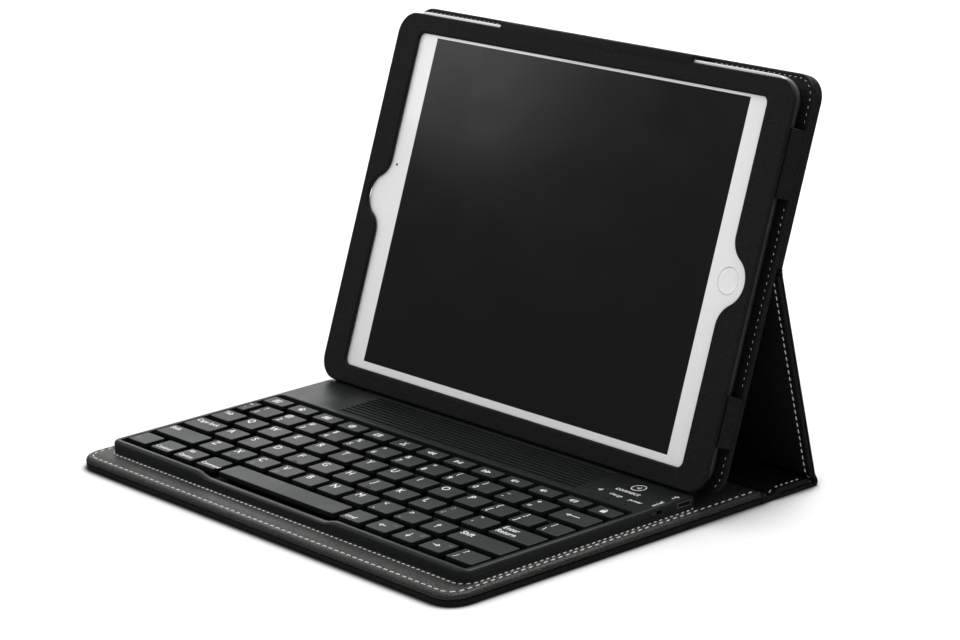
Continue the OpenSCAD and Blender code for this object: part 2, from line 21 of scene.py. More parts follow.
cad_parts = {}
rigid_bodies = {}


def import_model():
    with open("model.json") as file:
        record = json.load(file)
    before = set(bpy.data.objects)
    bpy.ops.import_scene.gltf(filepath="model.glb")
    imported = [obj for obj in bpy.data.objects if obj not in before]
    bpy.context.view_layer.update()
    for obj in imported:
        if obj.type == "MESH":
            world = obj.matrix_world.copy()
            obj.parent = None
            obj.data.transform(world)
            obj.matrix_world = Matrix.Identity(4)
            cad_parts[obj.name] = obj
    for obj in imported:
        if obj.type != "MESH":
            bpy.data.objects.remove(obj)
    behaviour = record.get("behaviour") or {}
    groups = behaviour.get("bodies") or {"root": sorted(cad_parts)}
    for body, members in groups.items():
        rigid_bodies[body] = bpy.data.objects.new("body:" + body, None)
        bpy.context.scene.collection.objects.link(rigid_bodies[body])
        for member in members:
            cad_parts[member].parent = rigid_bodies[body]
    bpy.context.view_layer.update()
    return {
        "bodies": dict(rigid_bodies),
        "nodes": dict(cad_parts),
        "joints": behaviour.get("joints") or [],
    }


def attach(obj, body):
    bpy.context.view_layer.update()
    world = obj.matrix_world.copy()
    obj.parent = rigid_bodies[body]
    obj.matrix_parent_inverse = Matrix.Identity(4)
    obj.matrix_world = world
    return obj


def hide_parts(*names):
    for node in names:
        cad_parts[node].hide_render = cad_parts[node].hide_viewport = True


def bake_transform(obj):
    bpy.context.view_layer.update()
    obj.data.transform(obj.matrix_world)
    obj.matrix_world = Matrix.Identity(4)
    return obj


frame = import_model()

LOG = logging.getLogger("tablet_case")
MM = 0.001
Colour = tuple[float, float, float]
Profile = Sequence[tuple[float, float]]


# ---------------------------------------------------------------- working frames


@dataclass(frozen=True)
class Place:
    """A working frame turned about X: x across the case, v along a panel, w out of it.

    Attributes:
        y: Row-frame Y of its origin, in mm.
        z: Row-frame Z of its origin, in mm.
        turn: Angle from the row frame, in radians.
    """

    y: float = 0.0
    z: float = 0.0
    turn: float = 0.0

    def world(self, points: np.ndarray) -> np.ndarray:
        """Turns local points in mm into row-frame points in metres.

        Args:
            points: Array (n, 3) of x, v, w.

        Returns:
            Array (n, 3) in metres.
        """
        c, s = math.cos(self.turn), math.sin(self.turn)
        x, v, w = np.asarray(points, float).T
        return np.column_stack([x, self.y + c * v - s * w, self.z + s * v + c * w]) * MM

    def local(self, points: np.ndarray) -> np.ndarray:
        """Turns row-frame points in metres into local points in mm.

        Args:
            points: Array (n, 3) in metres.

        Returns:
            Array (n, 3) of x, v, w.
        """
        c, s = math.cos(self.turn), math.sin(self.turn)
        x, y, z = np.asarray(points, float).T / MM
        dy, dz = y - self.y, z - self.z
        return np.column_stack([x, c * dy + s * dz, c * dz - s * dy])

    def box(self, node: str) -> tuple[np.ndarray, np.ndarray]:
        """Lowest and highest local corner of a CAD node.

        Args:
            node: Name of the node.

        Returns:
            Two arrays of x, v, w.
        """
        points = self.local(node_points(node))
        return points.min(0), points.max(0)


@cache
def node_points(node: str) -> np.ndarray:
    """Vertices of a CAD node as an array (n, 3), in metres."""
    mesh = frame["nodes"][node].data
    points = np.empty(len(mesh.vertices) * 3)
    mesh.vertices.foreach_get("co", points)
    return points.reshape(-1, 3)


def node_triangles(node: str) -> np.ndarray:
    """Vertex numbers of a CAD node's triangles as an array (n, 3)."""
    mesh = frame["nodes"][node].data
    mesh.calc_loop_triangles()
    corners = np.empty(len(mesh.loop_triangles) * 3, np.int32)
    mesh.loop_triangles.foreach_get("vertices", corners)
    return corners.reshape(-1, 3)


def joint(name: str) -> dict:
    """The row's joint of that name."""
    return next(j for j in frame["joints"] if j["name"] == name)


def hinge_point(name: str) -> tuple[float, float]:
    """Row-frame Y and Z of a hinge's axis, in mm."""
    _, y, z = joint(name)["pos_m"]
    return y / MM, z / MM


BENCH = Place()


def leg_place() -> Place:
    """Frame of the leg: it runs from the rear crease to the back crease."""
    low, high = hinge_point("leg_hinge"), hinge_point("holder_hinge")
    return Place(low[0], low[1], math.atan2(high[1] - low[1], high[0] - low[0]))


def holder_place() -> Place:
    """Frame of the holder: v from its lower edge, w from the tablet's face."""
    _, back, down = joint("home_button_press")["axis"]
    turn = math.atan2(back, -down)
    level = Place(turn=turn)
    low, _ = level.box("holder_back_panel")
    _, face = level.box("tablet_glass")
    y, z = level.world(np.array([[0.0, low[1], face[2]]]))[0][1:] / MM
    return Place(y, z, turn)


# ---------------------------------------------------------------- outlines


def arc(centre: Sequence[float], radius: float, start: float, end: float, steps: int) -> np.ndarray:
    """Points of an arc: centre + radius (cos a, sin a), with a from start to end in degrees."""
    a = np.radians(np.linspace(start, end, steps + 1))
    return np.column_stack([centre[0] + radius * np.cos(a), centre[1] + radius * np.sin(a)])


class Outline:
    """A closed flat line, anticlockwise, which can be drawn smaller or larger."""

    def ring(self, inset: float) -> np.ndarray:
        """Points (n, 2) of the line moved inward by inset; n never changes."""
        raise NotImplementedError


@dataclass(frozen=True)
class Sheet(Outline):
    """A rectangle with rounded corners. A side's share says how far it follows an inset."""

    x0: float
    x1: float
    y0: float
    y1: float
    near_r: float = 0.4
    far_r: float = 0.4
    near: float = 1.0
    far: float = 1.0
    step: float = 8.0
    turns: int = 8

    def ring(self, inset: float) -> np.ndarray:
        """Four quarter arcs about the corners, joined by straight runs of even points.

        Args:
            inset: Distance inward in mm; a negative one makes the line larger.

        Returns:
            Array (n, 2).
        """
        left, right = self.x0 + inset, self.x1 - inset
        low, high = self.y0 + inset * self.near, self.y1 - inset * self.far
        rn, rf = max(self.near_r - inset, 0.05), max(self.far_r - inset, 0.05)
        corners = [
            (right - rn, low + rn, rn, -90, self.y1 - self.y0),
            (right - rf, high - rf, rf, 0, self.x1 - self.x0),
            (left + rf, high - rf, rf, 90, self.y1 - self.y0),
            (left + rn, low + rn, rn, 180, self.x1 - self.x0),
        ]
        arcs = [arc((x, y), r, a, a + 90, self.turns) for x, y, r, a, _ in corners]
        parts = []
        for n, (_, _, _, _, length) in enumerate(corners):
            count = max(1, round(length / self.step))
            share = np.linspace(0, 1, count + 1)[1:-1, None]
            start, end = arcs[n][-1], arcs[(n + 1) % 4][0]
            parts += [arcs[n], start + (end - start) * share]
        return np.vstack(parts)


@dataclass(frozen=True)
class Disc(Outline):
    """A circle."""

    x: float
    y: float
    radius: float
    count: int = 32

    def ring(self, inset: float) -> np.ndarray:
        """Points at radius - inset about the centre."""
        return arc((self.x, self.y), self.radius - inset, 0, 360, self.count)[:-1]


class Loop(Outline):
    """Any smooth closed line, given by its points."""

    def __init__(self, points: np.ndarray) -> None:
        """Keeps the points and the inward direction at each.

        Args:
            points: Array (n, 2), anticlockwise.
        """
        self.points = np.asarray(points, float)
        ahead = np.roll(self.points, -1, 0) - self.points
        ahead /= np.linalg.norm(ahead, axis=1)[:, None]
        inward = np.column_stack([-ahead[:, 1], ahead[:, 0]])
        both = inward + np.roll(inward, 1, 0)
        self.inward = both / np.maximum((both * inward).sum(1), 0.5)[:, None]

    def ring(self, inset: float) -> np.ndarray:
        """Each point moved by inset along the mean of its two sides' inward directions."""
        return self.points + inset * self.inward


def densify(points: np.ndarray, step: float) -> np.ndarray:
    """Adds even points to the long sides of a closed line.

    Args:
        points: Array (n, 2).
        step: Longest side left, in mm.

    Returns:
        Array (m, 2).
    """
    ahead = np.roll(points, -1, 0)
    counts = np.maximum(1, np.ceil(np.linalg.norm(ahead - points, axis=1) / step).astype(int))
    runs = [a + (b - a) * (np.arange(n) / n)[:, None] for a, b, n in zip(points, ahead, counts)]
    return np.vstack(runs)


def inner_loop(node: str, place: Place, level: float, step: float = 5.0) -> np.ndarray:
    """Edge of the opening in a CAD sheet, whose points are all seen from its middle.

    The vertices at that level that lie clear of the sheet's own edge are put in order of
    the angle at which they are seen from the opening's middle.

    Args:
        node: Name of the sheet's node.
        place: Its working frame.
        level: Height w of the face that is read.
        step: Longest side left, in mm.

    Returns:
        Array (n, 2), anticlockwise.
    """
    points = place.local(node_points(node))
    low, high = points.min(0), points.max(0)
    flat = points[np.abs(points[:, 2] - level) < 0.01][:, :2]
    clear = np.minimum(flat - low[:2], high[:2] - flat).min(1) > 3.2
    flat = np.unique(np.round(flat[clear], 4), axis=0)
    middle = (flat.min(0) + flat.max(0)) / 2
    angle = np.arctan2(flat[:, 1] - middle[1], flat[:, 0] - middle[0])
    return densify(flat[np.argsort(angle)], step)


# ---------------------------------------------------------------- profiles


def rolled(low: float, high: float, under: float, over: float, flat: float = 0.5,
           steps: int = 5) -> list[tuple[float, float]]:
    """Side of a slab with quarter rounds: (inset, w) from its underside to its top.

    The lower round is (r - r sin t, low + r - r cos t) and the upper one mirrors it.

    Args:
        low: Height of the underside.
        high: Height of the top.
        under: Radius of the lower round.
        over: Radius of the upper round.
        flat: Width of the flat kept beside each round.
        steps: Steps in a round.

    Returns:
        List of (inset, w).
    """
    t = np.linspace(0, np.pi / 2, steps + 1)
    lower = zip(under - under * np.sin(t), low + under - under * np.cos(t))
    upper = zip(over - over * np.cos(t), high - over + over * np.sin(t))
    return [(under + flat, low), *lower, *upper, (over + flat, high)]


def channel(at: float, level: float, depth: float = 0.2, half: float = 0.8) -> list[tuple[float, float]]:
    """Dent that a row of stitches pulls into a face, as (inset, w) from outside in."""
    soft = half * 0.45
    return [(at - half, level), (at - soft, level - depth * 0.8), (at, level - depth),
            (at + soft, level - depth * 0.8), (at + half, level)]


def bore(low: float, high: float, edge: float) -> list[tuple[float, float]]:
    """Wall of a hole with its two edges eased, as (inset, w) from its underside up."""
    return [(-edge - 0.3, low), (-edge, low), (0, low + edge), (0, high - edge),
            (-edge * 0.3, high - edge * 0.3), (-edge, high), (-edge - 0.3, high)]


def smooth(t: np.ndarray) -> np.ndarray:
    """Smooth step: 3 t^2 - 2 t^3 with t kept between 0 and 1."""
    t = np.clip(t, 0, 1)
    return t * t * (3 - 2 * t)


# ---------------------------------------------------------------- meshes


class Axes(Enum):
    """Which local axes an outline's two directions and its height run along."""

    FLAT = (0, 1, 2)
    ACROSS = (1, 2, 0)


class Solid:
    """Points and faces of one piece in a working frame, made a mesh at the end."""

    def __init__(self) -> None:
        """Starts empty."""
        self.points: list[np.ndarray] = []
        self.faces: list[Sequence[int]] = []
        self.paint: list[int] = []
        self.count = 0

    def add(self, points: np.ndarray, faces: Iterable[Sequence[int]], paint: int = 0) -> np.ndarray:
        """Adds points and the faces between them.

        Args:
            points: Array (n, 3).
            faces: Faces that count from the first of these points.
            paint: Number of the finish.

        Returns:
            The points' numbers in the solid.
        """
        start = self.count
        self.points.append(np.asarray(points, float))
        self.count += len(points)
        faces = (np.asarray(faces) + start).tolist() if len(faces) else []
        self.faces += faces
        self.paint += [paint] * len(faces)
        return np.arange(start, self.count)

    def join(self, faces: np.ndarray, paint: int = 0) -> None:
        """Adds faces between points that are there already."""
        faces = np.asarray(faces).tolist()
        self.faces += faces
        self.paint += [paint] * len(faces)

    def wall(self, rings: Sequence[np.ndarray], paint: int = 0) -> list[np.ndarray]:
        """Joins rings of equal count by quads: (i, j), (i, j+1), (i+1, j+1), (i+1, j).

        Args:
            rings: Arrays (n, 3).
            paint: Number of the finish.

        Returns:
            The point numbers of each ring.
        """
        numbers = [self.add(ring, []) for ring in rings]
        grid = np.vstack(numbers)
        low, high = grid[:-1], grid[1:]
        quads = np.stack([low, np.roll(low, -1, 1), np.roll(high, -1, 1), high], -1)
        self.join(quads.reshape(-1, 4), paint)
        return numbers

    def band(self, outline: Outline, profile: Profile, paint: int = 0,
             axes: Axes = Axes.FLAT) -> list[np.ndarray]:
        """Carries a profile of (inset, height) round an outline.

        Args:
            outline: The line that it follows.
            profile: Pairs of inset and height.
            paint: Number of the finish.
            axes: Which way the outline lies.

        Returns:
            The point numbers of each ring.
        """
        rings = []
        for inset, height in profile:
            flat = outline.ring(inset)
            ring = np.empty((len(flat), 3))
            ring[:, list(axes.value)] = np.column_stack([flat, np.full(len(flat), height)])
            rings.append(ring)
        return self.wall(rings, paint)

    def cap(self, loop: np.ndarray, paint: int = 0) -> None:
        """Closes one loop with a single flat face."""
        self.join(np.asarray(loop)[None, :], paint)

    def fill(self, loops: Sequence[np.ndarray], paint: int = 0) -> None:
        """Fills the flat area inside the first loop and outside the others.

        A triangulation that keeps every loop's sides is cut down to the triangles whose
        middle lies inside an odd number of loops.

        Args:
            loops: Point numbers of each loop, all at one height.
            paint: Number of the finish.
        """
        numbers = np.concatenate(loops)
        flat = np.vstack(self.points)[numbers][:, :2]
        sides, start = [], 0
        for loop in loops:
            own = np.arange(start, start + len(loop))
            sides.append(np.column_stack([own, np.roll(own, -1)]))
            start += len(loop)
        sides = np.vstack(sides)
        _, _, faces, origins, _, _ = geometry.delaunay_2d_cdt(
            [Vector(p) for p in flat], sides.tolist(), [], 0, 1e-7, True)
        source = np.array([o[0] if o else -1 for o in origins])
        triangles = source[np.array(faces)]
        triangles = triangles[(triangles >= 0).all(1)]
        middle = flat[triangles].mean(1)
        a, b = flat[sides[:, 0]], flat[sides[:, 1]]
        inside = np.zeros(len(middle), int)
        for (ax, ay), (bx, by) in zip(a, b):
            if ay == by:
                continue
            crosses = (ay > middle[:, 1]) != (by > middle[:, 1])
            reach = ax + (middle[:, 1] - ay) * (bx - ax) / (by - ay)
            inside += crosses & (middle[:, 0] < reach)
        self.join(numbers[triangles[inside % 2 == 1]], paint)

    def slab(self, outline: Outline, profile: Profile, rings: Sequence[tuple] = (),
             holes: Sequence[tuple] = (), pockets: Sequence[tuple] = (),
             hollows: Sequence[tuple] = (), paint: int = 0) -> None:
        """Closed slab with bands in its top, holes through it and pockets on both faces.

        Args:
            outline: The slab's edge.
            profile: Pairs (inset, w) from the underside round the edge to the top.
            rings: (outline, profile) of bands in the top, each inside the last.
            holes: (outline, profile) of holes, from the underside to the top.
            pockets: (outline, profile) of pockets in the top, from the top down.
            hollows: (outline, profile) of pockets in the underside, from there up.
            paint: Number of the finish.
        """
        edge = self.band(outline, profile, paint)
        top = edge[-1]
        for line, path in rings:
            loops = self.band(line, path, paint)
            self.fill([top, loops[0]], paint)
            top = loops[-1]
        bores = [self.band(line, path, paint) for line, path in holes]
        sunk = [self.band(line, path, paint) for line, path in pockets]
        raised = [self.band(line, path, paint) for line, path in hollows]
        for ends in sunk + raised:
            self.cap(ends[-1], paint)
        over, under = bores + sunk, bores + raised
        self.fill([top] + [b[-1] for b in bores] + [s[0] for s in sunk], paint) if over else \
            self.cap(top, paint)
        self.fill([edge[0]] + [b[0] for b in under], paint) if under else \
            self.cap(edge[0], paint)

    def make(self, name: str, place: Place, finishes: Sequence[bpy.types.Material],
             sharp: float = 38.0, warp: Callable | None = None) -> bpy.types.Object:
        """Makes the mesh: merged points, outward faces, smooth shading up to an angle.

        Args:
            name: Name of the piece.
            place: Its working frame.
            finishes: Its materials, in the order of the paint numbers.
            sharp: Angle above which an edge stays sharp, in degrees.
            warp: Function that moves the local points first, if any.

        Returns:
            The new object, at the origin.
        """
        points = np.vstack(self.points)
        if warp:
            points = warp(points)
        mesh = bpy.data.meshes.new(name)
        mesh.from_pydata(place.world(points).tolist(), [], self.faces)
        mesh.polygons.foreach_set("material_index", self.paint)
        work = bmesh.new()
        work.from_mesh(mesh)
        bmesh.ops.remove_doubles(work, verts=work.verts, dist=1e-6)
        bmesh.ops.dissolve_degenerate(work, edges=work.edges, dist=5e-7)
        bmesh.ops.recalc_face_normals(work, faces=work.faces)
        work.to_mesh(mesh)
        work.free()
        mesh.shade_smooth()
        mesh.set_sharp_from_angle(angle=math.radians(sharp))
        for finish in finishes:
            mesh.materials.append(finish)
        piece = bpy.data.objects.new(name, mesh)
        bpy.context.scene.collection.objects.link(piece)
        return piece


def settle(piece: bpy.types.Object, body: str, slot: str, *nodes: str) -> bpy.types.Object:
    """Lets a piece ride on a body and hides the CAD nodes that it stands for."""
    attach(piece, body)
    if nodes:
        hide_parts(*nodes)
    LOG.info("%s on %s: %d faces", piece.name, body, len(piece.data.polygons))
    return piece


@dataclass(frozen=True)
class Seam:
    """A row of stitches: short thick threads that dive into the face at both ends."""

    pitch: float = 3.0
    length: float = 2.15
    radius: float = 0.27
    slant: float = 9.0
    rise: float = 0.08
    dive: float = 0.3

    def sew(self, solid: Solid, path: np.ndarray, up: Sequence[float] = (0, 0, 1),
            closed: bool = True, keep: Callable | None = None, paint: int = 0) -> None:
        """Adds a row along a path.

        Along a stitch t runs from -1 to 1: its radius is r (1 - t^6)^0.5 and its middle
        line is rise - dive t^2 above the path.

        Args:
            solid: Where the stitches go.
            path: Array (n, 3) of points on the face.
            up: Direction out of the face.
            closed: Whether the path ends where it starts.
            keep: Test on the stitches' middles (n, 3); those that fail are left out.
            paint: Number of the finish.
        """
        line = np.vstack([path, path[:1]]) if closed else np.asarray(path, float)
        run = np.concatenate([[0], np.cumsum(np.linalg.norm(np.diff(line, axis=0), axis=1))])
        count = max(1, round(run[-1] / self.pitch))
        at = (np.arange(count) + 0.5) * run[-1] / count

        def points_at(s: np.ndarray) -> np.ndarray:
            """Points of the path at those lengths along it."""
            return np.column_stack([np.interp(s, run, line[:, k]) for k in range(3)])

        middle = points_at(at)
        ahead = points_at(np.minimum(at + 1, run[-1])) - points_at(np.maximum(at - 1, 0))
        ahead /= np.linalg.norm(ahead, axis=1)[:, None]
        if keep is not None:
            chosen = keep(middle)
            middle, ahead = middle[chosen], ahead[chosen]
        up = np.asarray(up, float)
        side = np.cross(up, ahead)
        lean = math.radians(self.slant)
        ahead, side = (ahead * math.cos(lean) + side * math.sin(lean),
                       side * math.cos(lean) - ahead * math.sin(lean))
        t = np.array([-1, -0.86, -0.45, 0.45, 0.86, 1])
        a = np.radians(np.arange(0, 360, 60))
        r = self.radius * np.sqrt(1 - t**6)
        along = np.repeat(t * self.length / 2, len(a))
        out = (r[:, None] * np.cos(a)).ravel()
        lift = (self.rise - self.dive * t**2)[:, None] + r[:, None] * np.sin(a)
        points = (middle[:, None, :] + along[None, :, None] * ahead[:, None, :]
                  + out[None, :, None] * side[:, None, :]
                  + lift.ravel()[None, :, None] * up)
        grid = np.arange(len(t) * len(a)).reshape(len(t), len(a))
        low, high = grid[:-1], grid[1:]
        quads = np.stack([low, np.roll(low, -1, 1), np.roll(high, -1, 1), high], -1).reshape(-1, 4)
        start = np.arange(len(middle))[:, None, None] * grid.size
        if len(middle):
            solid.add(points.reshape(-1, 3), (quads[None] + start).reshape(-1, 4), paint)


# ---------------------------------------------------------------- finishes


class Shader:
    """A material whose nodes are added one at a time."""

    def __init__(self, name: str) -> None:
        """Starts with a principled shader on the output.

        Args:
            name: Name of the material.
        """
        self.material = bpy.data.materials.new(name)
        self.material.use_nodes = True
        self.tree = self.material.node_tree
        self.tree.nodes.clear()
        self.surface = self.tree.nodes.new("ShaderNodeBsdfPrincipled")
        output = self.tree.nodes.new("ShaderNodeOutputMaterial")
        self.tree.links.new(self.surface.outputs[0], output.inputs[0])
        self.place = self.tree.nodes.new("ShaderNodeTexCoord").outputs["Object"]

    def set(self, **sockets: float | tuple) -> None:
        """Sets the shader's own sockets; an underscore stands for a space."""
        for key, value in sockets.items():
            socket = self.surface.inputs[key.replace("_", " ")]
            socket.default_value = (*value, 1.0) if socket.type == "RGBA" else value

    def noise(self, size: float, detail: float = 3.0, rough: float = 0.55,
              stretch: Colour = (1, 1, 1)) -> bpy.types.NodeSocket:
        """Noise whose lumps are about size mm, as a socket."""
        node = self.tree.nodes.new("ShaderNodeTexNoise")
        node.inputs["Scale"].default_value = 1 / (size * MM)
        node.inputs["Detail"].default_value = detail
        node.inputs["Roughness"].default_value = rough
        self.tree.links.new(self.mapped(stretch), node.inputs["Vector"])
        return node.outputs["Fac"]

    def mapped(self, stretch: Colour) -> bpy.types.NodeSocket:
        """The object coordinates, scaled along each axis."""
        if tuple(stretch) == (1, 1, 1):
            return self.place
        node = self.tree.nodes.new("ShaderNodeMapping")
        node.inputs["Scale"].default_value = stretch
        self.tree.links.new(self.place, node.inputs["Vector"])
        return node.outputs["Vector"]

    def cells(self, size: float, feature: str, jitter: float = 1.0) -> bpy.types.NodeSocket:
        """Distance in a pattern of cells of about size mm, as a socket."""
        node = self.tree.nodes.new("ShaderNodeTexVoronoi")
        node.feature = feature
        node.inputs["Scale"].default_value = 1 / (size * MM)
        node.inputs["Randomness"].default_value = jitter
        self.tree.links.new(self.place, node.inputs["Vector"])
        return node.outputs["Distance"]

    def spread(self, socket: bpy.types.NodeSocket, low: float, high: float, to_low: float,
               to_high: float) -> bpy.types.NodeSocket:
        """Maps the range low..high of a socket to to_low..to_high, smoothly."""
        node = self.tree.nodes.new("ShaderNodeMapRange")
        node.interpolation_type = "SMOOTHSTEP"
        for key, value in zip(("From Min", "From Max", "To Min", "To Max"),
                              (low, high, to_low, to_high)):
            node.inputs[key].default_value = value
        self.tree.links.new(socket, node.inputs["Value"])
        return node.outputs["Result"]

    def sum(self, first: bpy.types.NodeSocket, second: bpy.types.NodeSocket,
            share: float) -> bpy.types.NodeSocket:
        """first + share * second, as a socket."""
        node = self.tree.nodes.new("ShaderNodeMath")
        node.operation = "MULTIPLY_ADD"
        self.tree.links.new(second, node.inputs[0])
        node.inputs[1].default_value = share
        self.tree.links.new(first, node.inputs[2])
        return node.outputs[0]

    def tint(self, factor: bpy.types.NodeSocket, low: Colour, high: Colour,
             socket: str = "Base Color") -> None:
        """Colours a socket from low to high by a factor."""
        node = self.tree.nodes.new("ShaderNodeMix")
        node.data_type = "RGBA"
        node.inputs[6].default_value = (*low, 1)
        node.inputs[7].default_value = (*high, 1)
        self.tree.links.new(factor, node.inputs[0])
        self.tree.links.new(node.outputs[2], self.surface.inputs[socket])

    def drive(self, socket: str, factor: bpy.types.NodeSocket) -> None:
        """Links a factor to one of the shader's sockets."""
        self.tree.links.new(factor, self.surface.inputs[socket])

    def relief(self, height: bpy.types.NodeSocket, depth: float, strength: float = 1.0) -> None:
        """Bumps the surface by a height of up to depth mm."""
        node = self.tree.nodes.new("ShaderNodeBump")
        node.inputs["Strength"].default_value = strength
        node.inputs["Distance"].default_value = depth * MM
        self.tree.links.new(height, node.inputs["Height"])
        self.tree.links.new(node.outputs[0], self.surface.inputs["Normal"])


@dataclass(frozen=True)
class Leatherette:
    """Embossed artificial leather: rounded pebbles with fine furrows between them."""

    name: str
    colour: Colour
    pebble_top: Colour
    pebble: float = 1.05
    depth: float = 0.09
    gloss: float = 0.5
    specular: float = 0.35

    def material(self) -> bpy.types.Material:
        """Pebbles from cell edges and long soft creases from noise, with painted shade in the furrows
        between pebbles and a broad random change in the tone.
        """
        s = Shader(self.name)
        furrow = s.spread(s.cells(self.pebble, "DISTANCE_TO_EDGE", 0.9), 0.0, 0.28, 0, 1)
        soft = s.noise(self.pebble * 5, 2.0)
        fine = s.noise(self.pebble * 0.3, 2.0)
        wide = s.noise(38, 3.0)
        s.relief(s.sum(s.sum(furrow, soft, 0.8), fine, 0.25), self.depth)
        # Painted shade: the tone goes to the darker colour in the furrows between pebbles; broad noise
        # also varies it at random.
        s.tint(s.spread(s.sum(furrow, wide, 0.9), 0.5, 1.5, 0, 1), self.colour, self.pebble_top)
        s.drive("Roughness", s.spread(s.sum(wide, furrow, -0.12), 0.2, 0.7,
                                      self.gloss - 0.06, self.gloss + 0.08))
        s.set(Specular_IOR_Level=self.specular)
        return s.material


@dataclass(frozen=True)
class Moulding:
    """Moulded plastic or rubber with a fine spark-eroded texture."""

    name: str
    colour: Colour
    gloss: float
    texture: float = 0.16
    depth: float = 0.006
    specular: float = 0.4
    lift: float = 1.12

    def material(self) -> bpy.types.Material:
        """Fine texture in the bump, slow change in the tone and the gloss."""
        s = Shader(self.name)
        fine, wide = s.noise(self.texture, 2.0), s.noise(24, 2.0)
        light = tuple(min(1.0, c * self.lift) for c in self.colour)
        s.tint(s.spread(s.sum(wide, fine, 0.4), 0.45, 0.95, 0, 1), self.colour, light)
        s.drive("Roughness", s.spread(wide, 0.3, 0.7, self.gloss - 0.03, self.gloss + 0.04))
        s.relief(fine, self.depth)
        s.set(Specular_IOR_Level=self.specular)
        return s.material


@dataclass(frozen=True)
class Twine:
    """Twisted thread."""

    name: str
    colour: Colour
    twist: float = 0.45

    def material(self) -> bpy.types.Material:
        """Fine strands in the bump, a little grime in the tone."""
        s = Shader(self.name)
        strand, grime = s.noise(self.twist, 1.0), s.noise(9, 2.0)
        s.relief(strand, 0.05)
        s.tint(s.spread(grime, 0.3, 0.7, 0, 1), tuple(c * 0.86 for c in self.colour), self.colour)
        s.drive("Roughness", s.spread(strand, 0.3, 0.7, 0.6, 0.8))
        s.set(Specular_IOR_Level=0.3, Sheen_Weight=0.15)
        return s.material


@dataclass(frozen=True)
class Glaze:
    """Clear glass over a coloured layer, as on a tablet's front."""

    name: str
    colour: Colour
    gloss: float = 0.06
    coat: float = 0.6
    specular: float = 0.5

    def material(self) -> bpy.types.Material:
        """Almost even colour under a clear coat, with faint smears in the gloss."""
        s = Shader(self.name)
        smear = s.noise(30, 4.0, stretch=(1, 2.4, 1))
        s.tint(s.spread(s.noise(2.5, 2.0), 0.3, 0.7, 0, 1), tuple(c * 0.985 for c in self.colour),
               self.colour)
        s.drive("Roughness", s.spread(smear, 0.3, 0.75, self.gloss, self.gloss + 0.05))
        s.set(Coat_Weight=self.coat, Coat_Roughness=0.03, Specular_IOR_Level=self.specular)
        return s.material


@dataclass(frozen=True)
class Metal:
    """Blasted, brushed or plated metal."""

    name: str
    colour: Colour
    gloss: float = 0.35
    brushed: Colour = (1, 1, 1)
    depth: float = 0.008

    def material(self) -> bpy.types.Material:
        """Fine grain, stretched along the brushing, in the bump and the gloss."""
        s = Shader(self.name)
        grain = s.noise(0.22, 2.0, stretch=self.brushed)
        s.relief(grain, self.depth)
        s.tint(s.spread(s.noise(12), 0.3, 0.7, 0, 1), tuple(c * 0.92 for c in self.colour),
               self.colour)
        s.drive("Roughness", s.spread(grain, 0.3, 0.7, self.gloss - 0.05, self.gloss + 0.06))
        s.set(Metallic=1.0)
        return s.material


@dataclass(frozen=True)
class Fibreboard:
    """Grey board with short fibres."""

    name: str
    colour: Colour

    def material(self) -> bpy.types.Material:
        """Stretched noise for the fibres, in tone and bump."""
        s = Shader(self.name)
        fibre = s.noise(0.6, 4.0, 0.7, (0.25, 1, 1))
        s.tint(s.spread(fibre, 0.35, 0.65, 0, 1), tuple(c * 0.72 for c in self.colour), self.colour)
        s.relief(fibre, 0.04)
        s.set(Roughness=0.9, Specular_IOR_Level=0.2)
        return s.material


@dataclass(frozen=True)
class Laminate:
    """Circuit board: green mask over copper runs."""

    name: str
    colour: Colour
    copper: Colour

    def material(self) -> bpy.types.Material:
        """Square cells make the runs, which show lighter and stand a little proud."""
        s = Shader(self.name)
        runs = s.spread(s.cells(2.2, "DISTANCE_TO_EDGE", 0.15), 0.05, 0.12, 1, 0)
        s.tint(runs, self.colour, self.copper)
        s.relief(runs, 0.03)
        s.set(Roughness=0.35)
        return s.material


